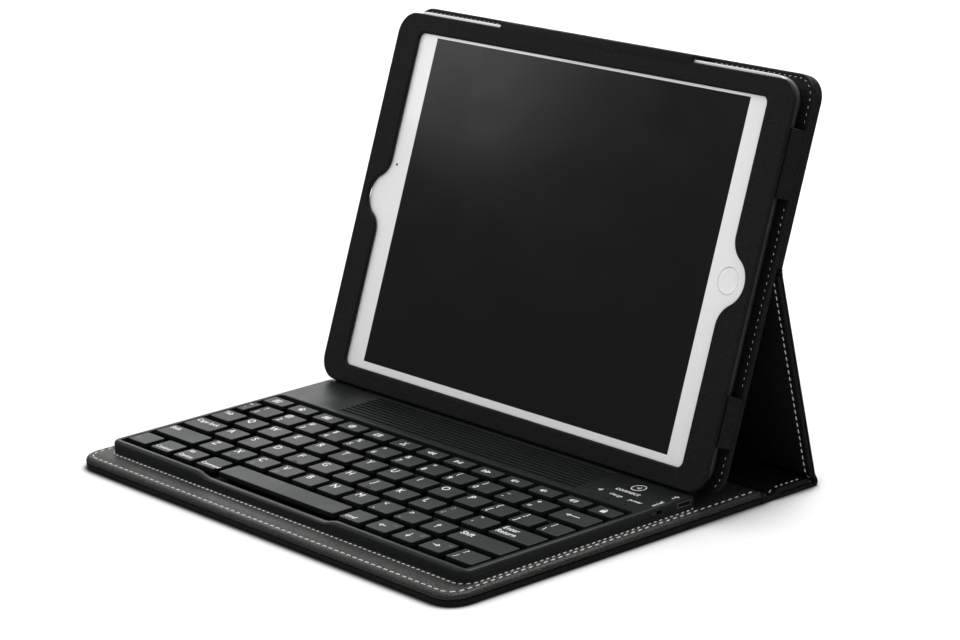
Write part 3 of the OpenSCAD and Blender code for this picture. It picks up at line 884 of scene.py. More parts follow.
class Palette:
    """Every finish of the case, made once."""

    def __init__(self) -> None:
        """Makes the materials."""
        self.leather = Leatherette("black_leather", (0.0052, 0.0055, 0.0055),
                                   (0.0105, 0.0110, 0.0108), specular=0.30).material()
        # Painted sheen: the lining's lighter brownish colour stands in for the sheen on black lining
        # leather; only the base's lining uses it.
        self.lining = Leatherette("lining_leather", (0.015, 0.0138, 0.0128),
                                  (0.036, 0.0335, 0.031), gloss=0.44, specular=0.55).material()
        self.thread = Twine("seam_thread", (0.66, 0.65, 0.61)).material()
        self.shell = Moulding("shell_plastic", (0.0100, 0.0122, 0.0126), 0.42,
                              specular=0.35).material()
        self.key_top = Moulding("key_top_plastic", (0.021, 0.026, 0.027), 0.5,
                                specular=0.40).material()
        # Painted shade: the key sides take a much darker copy of the key-top plastic, with less
        # specular, so they look shaded.
        self.key_side_painted_shade = Moulding("key_plastic_painted_shade", (0.0035, 0.0042, 0.0043), 0.5,
                                 specular=0.15).material()
        self.legend = Moulding("legend_ink", (0.80, 0.80, 0.78), 0.55, specular=0.3).material()
        self.faint = Moulding("faint_legend_ink", (0.17, 0.175, 0.18), 0.55,
                              specular=0.3).material()
        self.membrane = Moulding("dome_rubber", (0.006, 0.006, 0.006), 0.7, 0.5, 0.02,
                                 0.2).material()
        self.button = Moulding("button_rubber", (0.018, 0.020, 0.021), 0.5).material()
        self.board = Fibreboard("grey_board", (0.30, 0.27, 0.22)).material()
        self.circuit = Laminate("circuit_laminate", (0.01, 0.085, 0.04),
                                (0.05, 0.20, 0.09)).material()
        self.battery = Metal("battery_foil", (0.55, 0.57, 0.60), 0.4, (1, 0.1, 1)).material()
        self.steel = Metal("steel", (0.60, 0.60, 0.60), 0.3, (0.1, 1, 1)).material()
        self.magnet = Metal("magnet_plating", (0.68, 0.68, 0.70), 0.2).material()
        self.body = Metal("tablet_metal", (0.74, 0.75, 0.76), 0.42).material()
        self.white = Glaze("white_glass", (0.86, 0.865, 0.865)).material()
        self.screen = Glaze("screen_glass", (0.0062, 0.0062, 0.0062), 0.13, 0.0, 0.5).material()
        self.lens = Glaze("lens_glass", (0.004, 0.004, 0.006), 0.04).material()

    def dress(self, material: bpy.types.Material, *nodes: str) -> None:
        """Gives CAD nodes that keep their own shape a finish."""
        for name in nodes:
            mesh = frame["nodes"][name].data
            mesh.materials.clear()
            mesh.materials.append(material)
            mesh.polygons.foreach_set("material_index", [0] * len(mesh.polygons))


# ---------------------------------------------------------------- stiff panels of the case


@dataclass(frozen=True)
class Panel:
    """A stiff board between an outer skin and a lining, whose edges are both turned.

    Attributes:
        name: First word of the CAD nodes.
        body: Body that it rides on.
        place: Its working frame.
        near_r: Radius of its near corners.
        near: How far the near edge is rolled, from 0 to 1.
        far: How far the far edge is rolled.
        lining: Last words of the lining's node.
        skin: Last words of the skin's node.
        row: Distance of the stitches from the edge.
        board_gap: Room left around the board.
        seam: Stitches of that row.
        round: How much of the thickness of a layer its rounded edge takes.
    """

    name: str
    body: str
    place: Place
    near_r: float = 0.4
    near: float = 0.05
    far: float = 0.05
    lining: str = "lining"
    skin: str = "skin"
    row: float = 3.3
    board_gap: float = 0.1
    seam: Seam = Seam()
    round: float = 0.72

    def outline(self) -> Sheet:
        """Edge of the stiff part."""
        low, high = self.place.box(f"{self.name}_{self.lining}")
        return Sheet(low[0], high[0], low[1], high[1], self.near_r, 0.4, self.near, self.far)

    def levels(self) -> tuple[float, float, float, float]:
        """Heights of the skin's two faces and of the lining's two faces."""
        skin_low, skin_high = self.place.box(f"{self.name}_{self.skin}")
        low, high = self.place.box(f"{self.name}_{self.lining}")
        return skin_low[2], skin_high[2], low[2], high[2]

    def hollow(self) -> tuple[Sheet, float, float]:
        """Outline and the two heights of the space that holds the board."""
        low, high = self.place.box(f"{self.name}_board")
        gap, edge = self.board_gap, self.outline()
        corner = max(self.near_r - (low[1] - edge.y0), 0.4)
        line = Sheet(low[0] - gap, high[0] + gap, low[1] - gap, high[1] + gap, corner, 0.4)
        return line, low[2], high[2]

    def sides_only(self, middles: np.ndarray) -> np.ndarray:
        """Keeps the stitches that aren't on an edge that meets a crease."""
        edge = self.outline()
        near = (middles[:, 1] > edge.y0 + 1.2) | (self.near > 0.5)
        return near & (middles[:, 1] < edge.y1 - 1.2)

    def build(self, palette: Palette, inside: bpy.types.Material, extra: Sequence[tuple] = (),
              rows: Sequence[Outline] = (), outer_row: bool = True) -> None:
        """Makes the skin, the lining and their stitches.

        Args:
            palette: The finishes.
            inside: The lining's finish.
            extra: Bands (outline, profile) in the lining's face.
            rows: Further rows of stitches on the lining.
            outer_row: Whether the stitches show on the skin's face too.
        """
        edge = self.outline()
        skin_low, skin_high, low, high = self.levels()
        space, floor, ceiling = self.hollow()
        face_r, turn_r = self.round * (high - low), 0.16 * (high - low)
        profile = rolled(skin_low, skin_high, face_r, turn_r, 0.35)
        if outer_row:
            mirrored = [(a, 2 * skin_low - b) for a, b in channel(self.row, skin_low)]
            profile = [*reversed(mirrored), *profile]
        skin = Solid()
        skin.slab(edge, profile, pockets=[(space, [(-0.1, skin_high), (0, skin_high - 0.1),
                                                   (0, floor)])])
        settle(skin.make(f"{self.name}_outer_leather", self.place, [palette.leather]), self.body,
               "leatherette", f"{self.name}_{self.skin}")
        lining = Solid()
        lining.slab(edge, [*rolled(low, high, turn_r, face_r, 0.35), *channel(self.row, high)],
                    rings=extra,
                    hollows=[(space, [(-0.1, low), (0, low + 0.1), (0, ceiling)])])
        settle(lining.make(f"{self.name}_inner_leather", self.place, [inside]), self.body,
               "lining_leatherette", f"{self.name}_{self.lining}")
        thread = Solid()
        flat = edge.ring(self.row)
        lift = np.column_stack([flat, np.full(len(flat), high - 0.2)])
        self.seam.sew(thread, lift, keep=self.sides_only)
        for line in rows:
            ring = line.ring(0)
            Seam().sew(thread, np.column_stack([ring, np.full(len(ring), high - 0.18)]))
        if outer_row:
            under = np.column_stack([flat, np.full(len(flat), skin_low + 0.2)])
            flush = Seam(self.seam.pitch, self.seam.length, self.seam.radius, rise=0.0)
            flush.sew(thread, under, (0, 0, -1), keep=self.sides_only)
        settle(thread.make(f"{self.name}_stitches", self.place, [palette.thread]), self.body,
               "leatherette")


@dataclass(frozen=True)
class Fold:
    """Soft leather that joins two stiff panels along a crease and bends between them.

    It is drawn flat, with s from its start to its end and h above the crease's axis. Each
    point is then turned about the axis by angle * smooth((s - start) / (end - start)). On
    the bench the leather flattens where it rests: z becomes (z + sqrt(z^2 + 0.09)) / 2.
    """

    name: str
    bodies: tuple[str, str]
    node: str
    place: Place
    axis: tuple[float, float]
    half_width: float
    start: float
    end: float
    angle: float
    outer: float
    inner_start: float
    inner_end: float
    valley: float
    steps: int = 22

    def bend(self, points: np.ndarray) -> np.ndarray:
        """Turns flat points (x, s, h) about the crease.

        Args:
            points: Array (n, 3).

        Returns:
            Array (n, 3) in the fold's working frame.
        """
        x, s, h = points.T
        a = self.angle * smooth((s - self.start) / (self.end - self.start))
        z = self.axis[1] + s * np.sin(a) + h * np.cos(a)
        if self.place is BENCH:
            z = (z + np.sqrt(z ** 2 + 0.09)) / 2
        return np.column_stack([x, self.axis[0] + s * np.cos(a) - h * np.sin(a), z])

    def inner(self, s: np.ndarray) -> np.ndarray:
        """Height of the inner face: a straight run less a rounded valley and a fine fold."""
        t = (s - self.start) / (self.end - self.start)
        run = self.inner_start + (self.inner_end - self.inner_start) * smooth(t)
        dent = np.clip(1 - (2 * t - 1) ** 2, 0, 1) ** 1.4
        return run - self.valley * dent - 0.12 * self.valley * np.exp(-((t - 0.5) / 0.05) ** 2)

    def build(self, palette: Palette, seam_row: float = 3.3) -> bpy.types.Object:
        """Makes the strip with a few stitches at each end, bakes its bend into the mesh and hides the
        crease that it stands for.
        """
        solid = Solid()
        stations = np.linspace(self.start, self.end, self.steps + 1)
        rings = []
        for s, top in zip(stations, self.inner(stations)):
            r = min(0.45 * (top - self.outer), 1.0)
            line = Sheet(-self.half_width, self.half_width, self.outer, top, r, r, step=10,
                         turns=5).ring(0)
            rings.append(np.column_stack([line[:, 0], np.full(len(line), s), line[:, 1]]))
        numbers = solid.wall(rings)
        solid.cap(numbers[0])
        solid.cap(numbers[-1])
        if self.end - self.start > 6:
            for x in (seam_row - self.half_width, self.half_width - seam_row):
                s = np.linspace(self.start + 0.6, self.end - 0.6, 12)
                path = np.column_stack([np.full(12, x), s, self.inner(s) - 0.02])
                Seam(slant=7).sew(solid, path, closed=False, paint=1)
                under = np.column_stack([np.full(12, x), s, np.full(12, self.outer + 0.1)])
                Seam(rise=0.0).sew(solid, under, (0, 0, -1), closed=False, paint=1)
        piece = solid.make(self.name, self.place, [palette.leather, palette.thread],
                           warp=self.bend)
        ends = self.place.world(self.bend(np.array([
            [0, self.start, (self.outer + self.inner_start) / 2],
            [0, self.end, (self.outer + self.inner_end) / 2]])))
        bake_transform(piece)
        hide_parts(self.node)
        LOG.info("%s bends between %s", self.name, " and ".join(self.bodies))
        return piece


@dataclass
class Cover:
    """The leather case without the holder: base, spine, leg and the folds between them.

    Attributes:
        row_gap: Distance of the inner stitches from the keyboard's sides and back.
        row_front: The same in front of it.
        row_r: Radius of their corners.
        groove: Half width of the furrow that they lie in, at the top and at its bottom.
        groove_depth: Depth of the furrow.
        front_valley: Depth of the hollow in the front fold's inner face.
        rear_valley: The same in the rear fold.
        back_face: Height of the back fold's inner face over its axis.
        back_steps: Number of steps along the back fold.
    """

    row_gap: float = 0.85
    row_front: float = 1.6
    row_r: float = 7.8
    groove: tuple[float, float] = (0.9, 0.35)
    groove_depth: float = 0.16
    front_valley: float = 2.6
    rear_valley: float = 1.9
    back_face: float = 0.7
    back_steps: int = 8

    def __post_init__(self) -> None:
        """Finds the panels' frames."""
        self.leg_at = leg_place()
        self.holder_at = holder_place()
        self.base = Panel("base", "base", BENCH, near_r=10.0, near=1.0, skin="outer_skin",
                          seam=Seam(3.8, 2.75, 0.31), round=0.82)
        self.spine = Panel("spine", "spine", BENCH)
        self.leg = Panel("leg", "leg", self.leg_at)

    def keyboard_row(self) -> Sheet:
        """Line of the stitches that go round the keyboard."""
        low, high = BENCH.box("keyboard_top_shell")
        gap = self.row_gap
        return Sheet(low[0] - gap, high[0] + gap, low[1] - self.row_front, high[1] + gap,
                     self.row_r, self.row_r)

    def build(self, palette: Palette) -> None:
        """Makes the three panels and the three folds."""
        row, top = self.keyboard_row(), self.base.levels()[3]
        wide, narrow = self.groove
        floor = top - self.groove_depth
        furrow = [(-wide, top), (-narrow, floor), (narrow, floor), (wide, top)]
        # The base's lining takes the lighter brown lining finish, whose colour is painted sheen; the
        # spine's and the leg's linings take the black leather.
        self.base.build(palette, palette.lining, extra=[(row, furrow)], rows=[row])
        self.spine.build(palette, palette.leather)
        self.leg.build(palette, palette.leather)
        half = self.base.outline().x1
        front, rear, back = (hinge_point(n) for n in ("spine_hinge", "leg_hinge", "holder_hinge"))
        base_end = self.base.outline().y1 - front[0]
        spine_start = self.spine.outline().y0 - front[0]
        spine_end = self.spine.outline().y1 - rear[0]
        leg_start = self.leg.outline().y0
        base_top, spine_top = self.base.levels()[3] - front[1], self.spine.levels()[3] - rear[1]
        leg_top = self.leg.levels()[3]
        outer = -front[1]
        Fold("front_fold", ("base", "spine"), "front_crease", BENCH, front, half, base_end,
             spine_start, 0.0, outer, base_top, spine_top, self.front_valley).build(palette)
        Fold("rear_fold", ("spine", "leg"), "rear_crease", BENCH, rear, half, spine_end,
             leg_start, self.leg_at.turn, outer, spine_top, leg_top,
             self.rear_valley).build(palette)
        length = math.hypot(back[0] - rear[0], back[1] - rear[1])
        leg_end = self.leg.outline().y1 - length
        cover_low, _ = self.holder_at.box("upper_cover_skin")
        axis_v = self.holder_at.local(np.array([[0, back[0], back[1]]]) * MM)[0][1]
        Fold("back_fold", ("leg", "holder"), "back_crease", self.leg_at, (length, 0.0), half,
             leg_end, cover_low[1] - axis_v, self.holder_at.turn - self.leg_at.turn, outer,
             self.back_face, self.back_face, 0.0, self.back_steps).build(palette)


# ---------------------------------------------------------------- holder


@dataclass(frozen=True)
class Holder:
    """Frame, back panel, tabs and upper cover around the tablet."""

    edge_r: float = 0.85
    row: float = 1.8
    cover_row: float = 3.3

    def camera_hole(self, place: Place) -> Disc:
        """Hole for the rear camera, read from the opening's points in the back panel."""
        points = place.local(node_points("upper_cover_skin"))
        low, high = points.min(0), points.max(0)
        lens = place.local(node_points("camera_lenses"))
        rear = lens[lens[:, 2] < low[2] + 9]
        rear = rear[rear[:, 1] > (low[1] + high[1]) / 2]
        middle = (rear.min(0) + rear.max(0)) / 2
        away = np.linalg.norm(points[:, :2] - middle[:2], axis=1)
        return Disc(middle[0], middle[1], float(away.min()), 48)

    def frame_piece(self, palette: Palette, place: Place) -> None:
        """Front frame: a padded band with rolled edges around the window."""
        low, high = place.box("holder_frame")
        window = Loop(inner_loop("holder_frame", place, high[2]))
        r, w0, w1 = self.edge_r, low[2], high[2]
        edge = Sheet(low[0], high[0], low[1], high[1], 10, 10, step=6)
        wall = rolled(w0, w1, 0.5, r, 0.6)
        solid = Solid()
        t = np.linspace(0, np.pi / 2, 6)
        lip = [(-0.5, w0), (0.0, w0 + 0.4), *zip(-r + r * np.cos(t), w1 - r + r * np.sin(t)),
               (-r - 0.6, w1)]
        solid.slab(edge, wall, holes=[(window, lip)])
        settle(solid.make("frame_leather", place, [palette.leather]), "holder", "leatherette",
               "holder_frame")

    def top_tab(self, palette: Palette, place: Place) -> None:
        """Leather over the tablet's upper edge: an angle section carried across the case."""
        low, high = place.box("holder_top_tab")
        frame_low, frame_high = place.box("holder_frame")
        thick, r = 1.6, 1.2
        v0, v1, w0, w1 = frame_high[1] - 2.2, high[1], low[2], high[2] + 0.02
        inner_v, under = v1 - thick, frame_low[2]
        section = np.vstack([
            arc((v0 + 0.5, w1 - 0.5), 0.5, 180, 90, 3), arc((v1 - r, w1 - r), r, 90, 0, 6),
            [[v1, w0]], [[inner_v, w0]], [[inner_v, under]], [[v0, under]],
        ])[::-1]
        solid = Solid()
        ends = solid.band(Loop(densify(section, 2.0)), [
            (0.35, low[0]), (0.1, low[0] + 0.1), (0, low[0] + 0.4),
            (0, high[0] - 0.4), (0.1, high[0] - 0.1), (0.35, high[0])], axes=Axes.ACROSS)
        solid.cap(ends[0])
        solid.cap(ends[-1])
        settle(solid.make("top_tab_leather", place, [palette.leather]), "holder", "leatherette",
               "holder_top_tab")

    def small_tabs(self, palette: Palette, place: Place) -> None:
        """Two tabs on the side and the strip under the tablet, with eased edges."""
        points = place.local(node_points("holder_side_tabs"))
        low, high = points.min(0), points.max(0)
        middle = (low[1] + high[1]) / 2
        solid = Solid()
        for chosen in (points[:, 1] < middle, points[:, 1] > middle):
            a, b = points[chosen].min(0), points[chosen].max(0)
            solid.slab(Sheet(a[0], b[0], a[1], b[1], 0.7, 0.7, step=6, turns=5),
                       rolled(a[2], b[2], 0.2, 0.2, 0.05, 2))
        settle(solid.make("side_tab_leather", place, [palette.leather]), "holder", "leatherette",
               "holder_side_tabs")
        low, high = place.box("holder_bottom_edge")
        strip = Solid()
        strip.slab(Sheet(low[0], high[0], low[1], high[1], 0.35, 0.2, turns=4),
                   rolled(low[2], high[2], 0.1, 0.1, 0.05, 2))
        settle(strip.make("lower_edge_leather", place, [palette.leather]), "holder", "leatherette",
               "holder_bottom_edge")

    def back(self, palette: Palette, place: Place) -> None:
        """Back panel with pockets for the steel plates, upper cover, and their stitches."""
        low, high = place.box("holder_back_panel")
        hole = self.camera_hole(place)
        edge = Sheet(low[0], high[0], low[1], high[1], 10, 10)
        plates = place.local(node_points("strike_plates"))
        pockets = []
        for chosen in (plates[:, 0] < 0, plates[:, 0] > 0):
            a, b = plates[chosen].min(0), plates[chosen].max(0)
            line = Sheet(a[0] - 0.05, b[0] + 0.05, a[1] - 0.05, b[1] + 0.05, 0.2, 0.2, turns=3)
            pockets.append((line, [(0, high[2]), (0, a[2] - 0.05)]))
        panel = Solid()
        panel.slab(edge, rolled(low[2], high[2], 0.3, 0.9, 0.4), pockets=pockets,
                   holes=[(hole, bore(low[2], high[2], 0.3))])
        settle(panel.make("back_panel_leather", place, [palette.leather]), "holder",
               "lining_leatherette", "holder_back_panel")
        low_c, high_c = place.box("upper_cover_skin")
        line = Sheet(low_c[0], high_c[0], low_c[1], high_c[1], 0.4, 10, near=0.05)
        board_low, board_high = place.box("upper_cover_board")
        space = Sheet(board_low[0] - 0.1, board_high[0] + 0.1, board_low[1] - 0.1,
                      board_high[1] + 0.1, 0.4, 7.8)
        mirrored = [(a, 2 * low_c[2] - b) for a, b in channel(self.cover_row, low_c[2])]
        rim = rolled(low_c[2], high_c[2], 1.2, 0.4, 0.35)
        cover, floor = Solid(), board_low[2] - 0.05
        rim_loops = cover.band(line, [*reversed(mirrored), *rim])
        nest = cover.band(space, [(0, high_c[2]), (0, floor)])
        bored = cover.band(hole, bore(low_c[2], floor, 0.3))
        cover.fill([rim_loops[-1], nest[0]])
        cover.fill([nest[-1], bored[-1]])
        cover.fill([rim_loops[0], bored[0]])
        settle(cover.make("upper_cover_leather", place, [palette.leather]), "holder",
               "leatherette", "upper_cover_skin")
        palette.dress(palette.board, "upper_cover_board")
        self.sew(palette, place, edge, line, high[2], low_c[2])

    def sew(self, palette: Palette, place: Place, edge: Sheet, line: Sheet, front: float,
            back: float) -> None:
        """Stitches along the back panel's front face and round the upper cover's back.

        Args:
            palette: The finishes.
            place: The holder's frame.
            edge: Outline of the back panel.
            line: Outline of the upper cover.
            front: Height of the back panel's front face.
            back: Height of the upper cover's outer face.
        """
        tab_low, tab_high = place.box("holder_top_tab")
        sides = place.local(node_points("holder_side_tabs"))
        middle = (sides[:, 1].min() + sides[:, 1].max()) / 2
        spans = [(s[:, 1].min(), s[:, 1].max()) for s in (sides[sides[:, 1] < middle],
                                                          sides[sides[:, 1] > middle])]

        def clear(at: np.ndarray) -> np.ndarray:
            """Keeps stitches that no tab covers and that aren't under the tablet."""
            top = (at[:, 1] > edge.y1 - 3) & (at[:, 0] > tab_low[0] - 2) & (at[:, 0] < tab_high[0] + 2)
            side = np.zeros(len(at), bool)
            for a, b in spans:
                side |= (at[:, 0] > 0) & (at[:, 1] > a - 2) & (at[:, 1] < b + 2)
            return ~top & ~(side & (at[:, 0] > edge.x1 - 3)) & (at[:, 1] > edge.y0 + 4)

        thread = Solid()
        flat = edge.ring(self.row)
        Seam(rise=-0.2, dive=0.15).sew(
            thread, np.column_stack([flat, np.full(len(flat), front)]), keep=clear)
        flat = line.ring(self.cover_row)
        Seam(rise=0.0).sew(thread, np.column_stack([flat, np.full(len(flat), back + 0.2)]),
                           (0, 0, -1), keep=lambda at: at[:, 1] > line.y0 + 1.2)
        settle(thread.make("holder_stitches", place, [palette.thread]), "holder", "leatherette")

    def build(self, palette: Palette) -> None:
        """Makes every piece of the holder."""
        place = holder_place()
        self.frame_piece(palette, place)
        self.top_tab(palette, place)
        self.small_tabs(palette, place)
        self.back(palette, place)
        palette.dress(palette.steel, "strike_plates")


# ---------------------------------------------------------------- tablet


@dataclass(frozen=True)
class Tablet:
    """Plain removable tablet: metal shell, white front glass, display and home button."""

    corner_r: float = 11.0
    back_r: float = 2.4
    hole_gap: float = 0.15

    def round_node(self, place: Place, node: str, above: float | None = None) -> Disc:
        """Circle that a round CAD node fills, or its part above a height."""
        points = place.local(node_points(node))
        if above is not None:
            points = points[points[:, 2] > above]
        return self.circle_of(points, 48)

    def build(self, palette: Palette) -> None:
        """Makes the shell, the glass and the home button, and dresses the rest."""
        place = holder_place()
        low, high = place.box("tablet_shell")
        line = Sheet(low[0], high[0], low[1], high[1], self.corner_r, self.corner_r, turns=14)
        home = self.round_node(place, "home_button")
        lens = place.local(node_points("camera_lenses"))
        cut = (low[2] + high[2]) / 2
        rear = self.circle_of(lens[lens[:, 2] < cut])
        front = self.circle_of(lens[lens[:, 2] > cut])
        shell = Solid()
        sink = high[2] - 1.2
        shell.slab(line, rolled(low[2], high[2], self.back_r, 0.25, 0.5, 8),
                   pockets=[(Disc(home.x, home.y, home.radius + 0.3, 48),
                             [(0, high[2]), (0, sink)])],
                   hollows=[(rear, [(0, low[2]), (0, low[2] + 0.6)])])
        settle(shell.make("tablet_body", place, [palette.body]), "tablet", "tablet_metal",
               "tablet_shell")
        g_low, g_high = place.box("tablet_glass")
        d_low, d_high = place.box("tablet_display")
        window = Sheet(d_low[0], d_high[0], d_low[1], d_high[1], 0.05, 0.05, turns=2)
        top = self.round_node(place, "home_button", g_low[2] + 0.3)
        glass = Solid()
        glass.slab(line, rolled(g_low[2], g_high[2], 0.05, 0.35, 0.3, 4), holes=[
            (window, [(0, g_low[2]), (0, g_high[2])]),
            (Disc(top.x, top.y, top.radius + self.hole_gap, 48),
             [(0, g_low[2]), (0, g_high[2] - 0.12), (-0.12, g_high[2]), (-0.4, g_high[2])]),
            (front, [(0, g_low[2]), (0, g_high[2])])])
        settle(glass.make("tablet_front", place, [palette.white]), "tablet", "tablet_white",
               "tablet_glass")
        self.button(palette, place, home, top)
        palette.dress(palette.screen, "tablet_display")
        palette.dress(palette.lens, "camera_lenses")

    def circle_of(self, points: np.ndarray, steps: int = 32) -> Disc:
        """Circle round flat points, in that many steps."""
        low, high = points.min(0), points.max(0)
        return Disc((low[0] + high[0]) / 2, (low[1] + high[1]) / 2, (high[0] - low[0]) / 2, steps)

    def button(self, palette: Palette, place: Place, flange: Disc, top: Disc) -> None:
        """Home button: a flange under a disc with a shallow dish."""
        low, high = place.box("home_button")
        over = flange.radius - top.radius
        w0, w1 = low[2], high[2]
        solid = Solid()
        solid.slab(top, [
            (-over + 0.2, w0), (-over, w0), (-over, w0 + 0.65), (0, w0 + 0.66), (0, w1 - 0.2),
            (0.12, w1 - 0.03), (0.3, w1), (0.7, w1 - 0.02), (1.4, w1 - 0.1), (2.6, w1 - 0.19),
            (3.9, w1 - 0.24), (4.9, w1 - 0.25)])
        settle(solid.make("home_button_cap", place, [palette.white]), "home_button",
               "tablet_white", "home_button")


# ---------------------------------------------------------------- keyboard


@dataclass(frozen=True)
class Keyboard:
    """Upper shell with rim, scoop and ribbed strip, and what shows on the shells."""

    corner_r: float = 4.0
    edge_r: float = 1.7
    well_near_r: float = 1.2
    well_far_r: float = 2.5
    well_edge_r: float = 0.55
    deck: float = 1.0
    wall: float = 1.6
    groove_count: int = 9
    groove_pitch: float = 2.6
    groove_w: float = 1.25
    groove_depth: float = 0.62
    groove_from: float = 4.2
    groove_ends: tuple[float, float] = (-78.0, 76.0)
    scoop: float = 1.7
    slope: float = 9.0

    def well(self) -> Sheet:
        """Opening around the keys, which the dome sheet fills but for a small gap."""
        low, high = BENCH.box("key_membrane")
        gap = 0.2
        return Sheet(low[0] - gap, high[0] + gap, low[1] - gap, high[1] + gap,
                     self.well_near_r, self.well_far_r, step=3)

    def dip(self, points: np.ndarray) -> np.ndarray:
        """Lowers the front rim along the space bar: z -= scoop * a(x) * share of height.

        Here a(x) rises from 0 to 1 over each slope by a smooth step.
        """
        bar, end = top_runs("space_bar")[0]
        base = BENCH.box("keyboard_top_shell")[0][2]
        top = BENCH.box("keyboard_top_shell")[1][2]
        x, y, z = points.T
        rise = smooth((x - bar + self.slope) / self.slope) * smooth(
            (end + self.slope - x) / self.slope)
        front = y < self.well().y0 + 0.3
        share = np.clip((z - base) / (top - base), 0, 1)
        moved = points.copy()
        moved[:, 2] -= np.where(front, self.scoop * rise * share, 0)
        return moved

    def shell(self, palette: Palette) -> None:
        """Upper shell: rolled rim, well, hollow deck with grooves, and round holes."""
        low, high = BENCH.box("keyboard_top_shell")
        z0, z1, well = low[2], high[2], self.well()
        edge = Sheet(low[0], high[0], low[1], high[1], self.corner_r, self.corner_r, step=3)
        strip = well.y1
        solid = Solid()
        t = np.linspace(0, np.pi / 2, 9)
        outer = solid.band(edge, [
            (0.12, z0), (0, z0 + 0.12),
            *zip(self.edge_r * (1 - np.cos(t)), z1 - self.edge_r * (1 - np.sin(t))),
            (self.edge_r + 0.3, z1)])
        t = np.linspace(0, np.pi / 2, 5)
        r = self.well_edge_r
        inner = solid.band(well, [(0, z0), *zip(-r * (1 - np.cos(t)), z1 - r * (1 - np.sin(t))),
                                  (-r - 0.2, z1)])
        room = Sheet(low[0] + self.wall, high[0] - self.wall, strip + self.wall,
                     high[1] - self.wall, 1.0, self.corner_r - self.wall)
        hollow = solid.band(room, [(0, z0), (0, z1 - self.deck)])
        holes = [solid.band(line, [(0, z1 - self.deck), (0, z1 - 0.15), (-0.15, z1),
                                   (-0.35, z1)]) for line in self.round_holes()]
        grooves = []
        for n in range(self.groove_count):
            y = strip + self.groove_from + n * self.groove_pitch
            line = Sheet(*self.groove_ends, y, y + self.groove_w, 0.5, 0.5, step=12, turns=4)
            grooves.append(solid.band(line, [(-0.10, z1), (-0.02, z1 - 0.06), (0.0, z1 - 0.3),
                                             (0.1, z1 - self.groove_depth)]))
            solid.cap(grooves[-1][-1])
        solid.fill([outer[-1], inner[-1], *[h[-1] for h in holes], *[g[0] for g in grooves]])
        solid.fill([outer[0], inner[0], hollow[0]])
        solid.fill([hollow[-1], *[h[0] for h in holes]])
        piece = solid.make("keyboard_cover", BENCH, [palette.shell], warp=self.dip)
        self.cut_side(piece)
        settle(piece, "base", "keyboard_shell", "keyboard_top_shell")

    def round_holes(self) -> list[Disc]:
        """Holes in the deck for the connect button and the three lenses."""
        low, high = BENCH.box("connect_button")
        button = Disc((low[0] + high[0]) / 2, (low[1] + high[1]) / 2, (high[0] - low[0]) / 2 - 0.5)
        low, high = BENCH.box("status_lenses")
        r = (high[1] - low[1]) / 2
        return [button, *[Disc(x, (low[1] + high[1]) / 2, r + 0.05, 20)
                          for x in np.linspace(low[0] + r, high[0] - r, 3)]]

    def cut_side(self, piece: bpy.types.Object) -> None:
        """Cuts the openings for the port and the power switch through the right wall."""
        _, high = BENCH.box("keyboard_top_shell")
        port_low, port_high = BENCH.box("usb_port")
        knob_low, knob_high = BENCH.box("power_switch")
        travel = joint("power_switch_slide")["range_m"][1] / MM
        x0, x1 = high[0] - 4, high[0] + 2
        tool = Solid()
        for y0, y1, z0, z1 in (
                (port_low[1] - 0.15, port_high[1] + 0.15, port_low[2] - 0.1, port_high[2] + 0.1),
                (knob_low[1] + 0.7, knob_high[1] + travel - 0.7, knob_low[2] + 0.1,
                 knob_high[2] - 0.3)):
            ends = tool.band(Sheet(y0, y1, z0, z1, 0.6, 0.6, step=20, turns=4),
                             [(0, x0), (0, x1)], axes=Axes.ACROSS)
            tool.cap(ends[0])
            tool.cap(ends[1])
        cutter = tool.make("side_cutter", BENCH, [])
        change = piece.modifiers.new("openings", "BOOLEAN")
        change.operation, change.solver, change.object = "DIFFERENCE", "EXACT", cutter
        graph = bpy.context.evaluated_depsgraph_get()
        mesh = bpy.data.meshes.new_from_object(piece.evaluated_get(graph))
        piece.modifiers.clear()
        old, piece.data = piece.data, mesh
        bpy.data.meshes.remove(old)
        bpy.data.objects.remove(cutter)
        mesh.shade_smooth()
        mesh.set_sharp_from_angle(angle=math.radians(38))

    def connect_cap(self, palette: Palette) -> None:
        """Connect button: a round cap on a flange."""
        low, high = BENCH.box("connect_button")
        r, flange = (high[0] - low[0]) / 2, 0.8
        disc = Disc((low[0] + high[0]) / 2, (low[1] + high[1]) / 2, r - flange, 40)
        z0, z1 = low[2], high[2]
        solid = Solid()
        solid.slab(disc, [(-flange + 0.1, z0), (-flange, z0 + 0.1), (-flange, z0 + 0.5),
                          (0, z0 + 0.5), (0, z1 - 0.25), (0.08, z1 - 0.08), (0.25, z1), (0.6, z1)])
        settle(solid.make("connect_cap", BENCH, [palette.button]), "connect_button", "button",
               "connect_button")

    def build(self, palette: Palette) -> None:
        """Makes the upper shell and the connect cap, and dresses what keeps its shape."""
        self.shell(palette)
        self.connect_cap(palette)
        palette.dress(palette.shell, "keyboard_bottom_shell")
        palette.dress(palette.membrane, "key_membrane")
        palette.dress(palette.circuit, "circuit_board")
        palette.dress(palette.battery, "battery")
        palette.dress(palette.steel, "usb_port", "keyboard_screws")
        palette.dress(palette.lens, "status_lenses")
        palette.dress(palette.button, "power_switch")


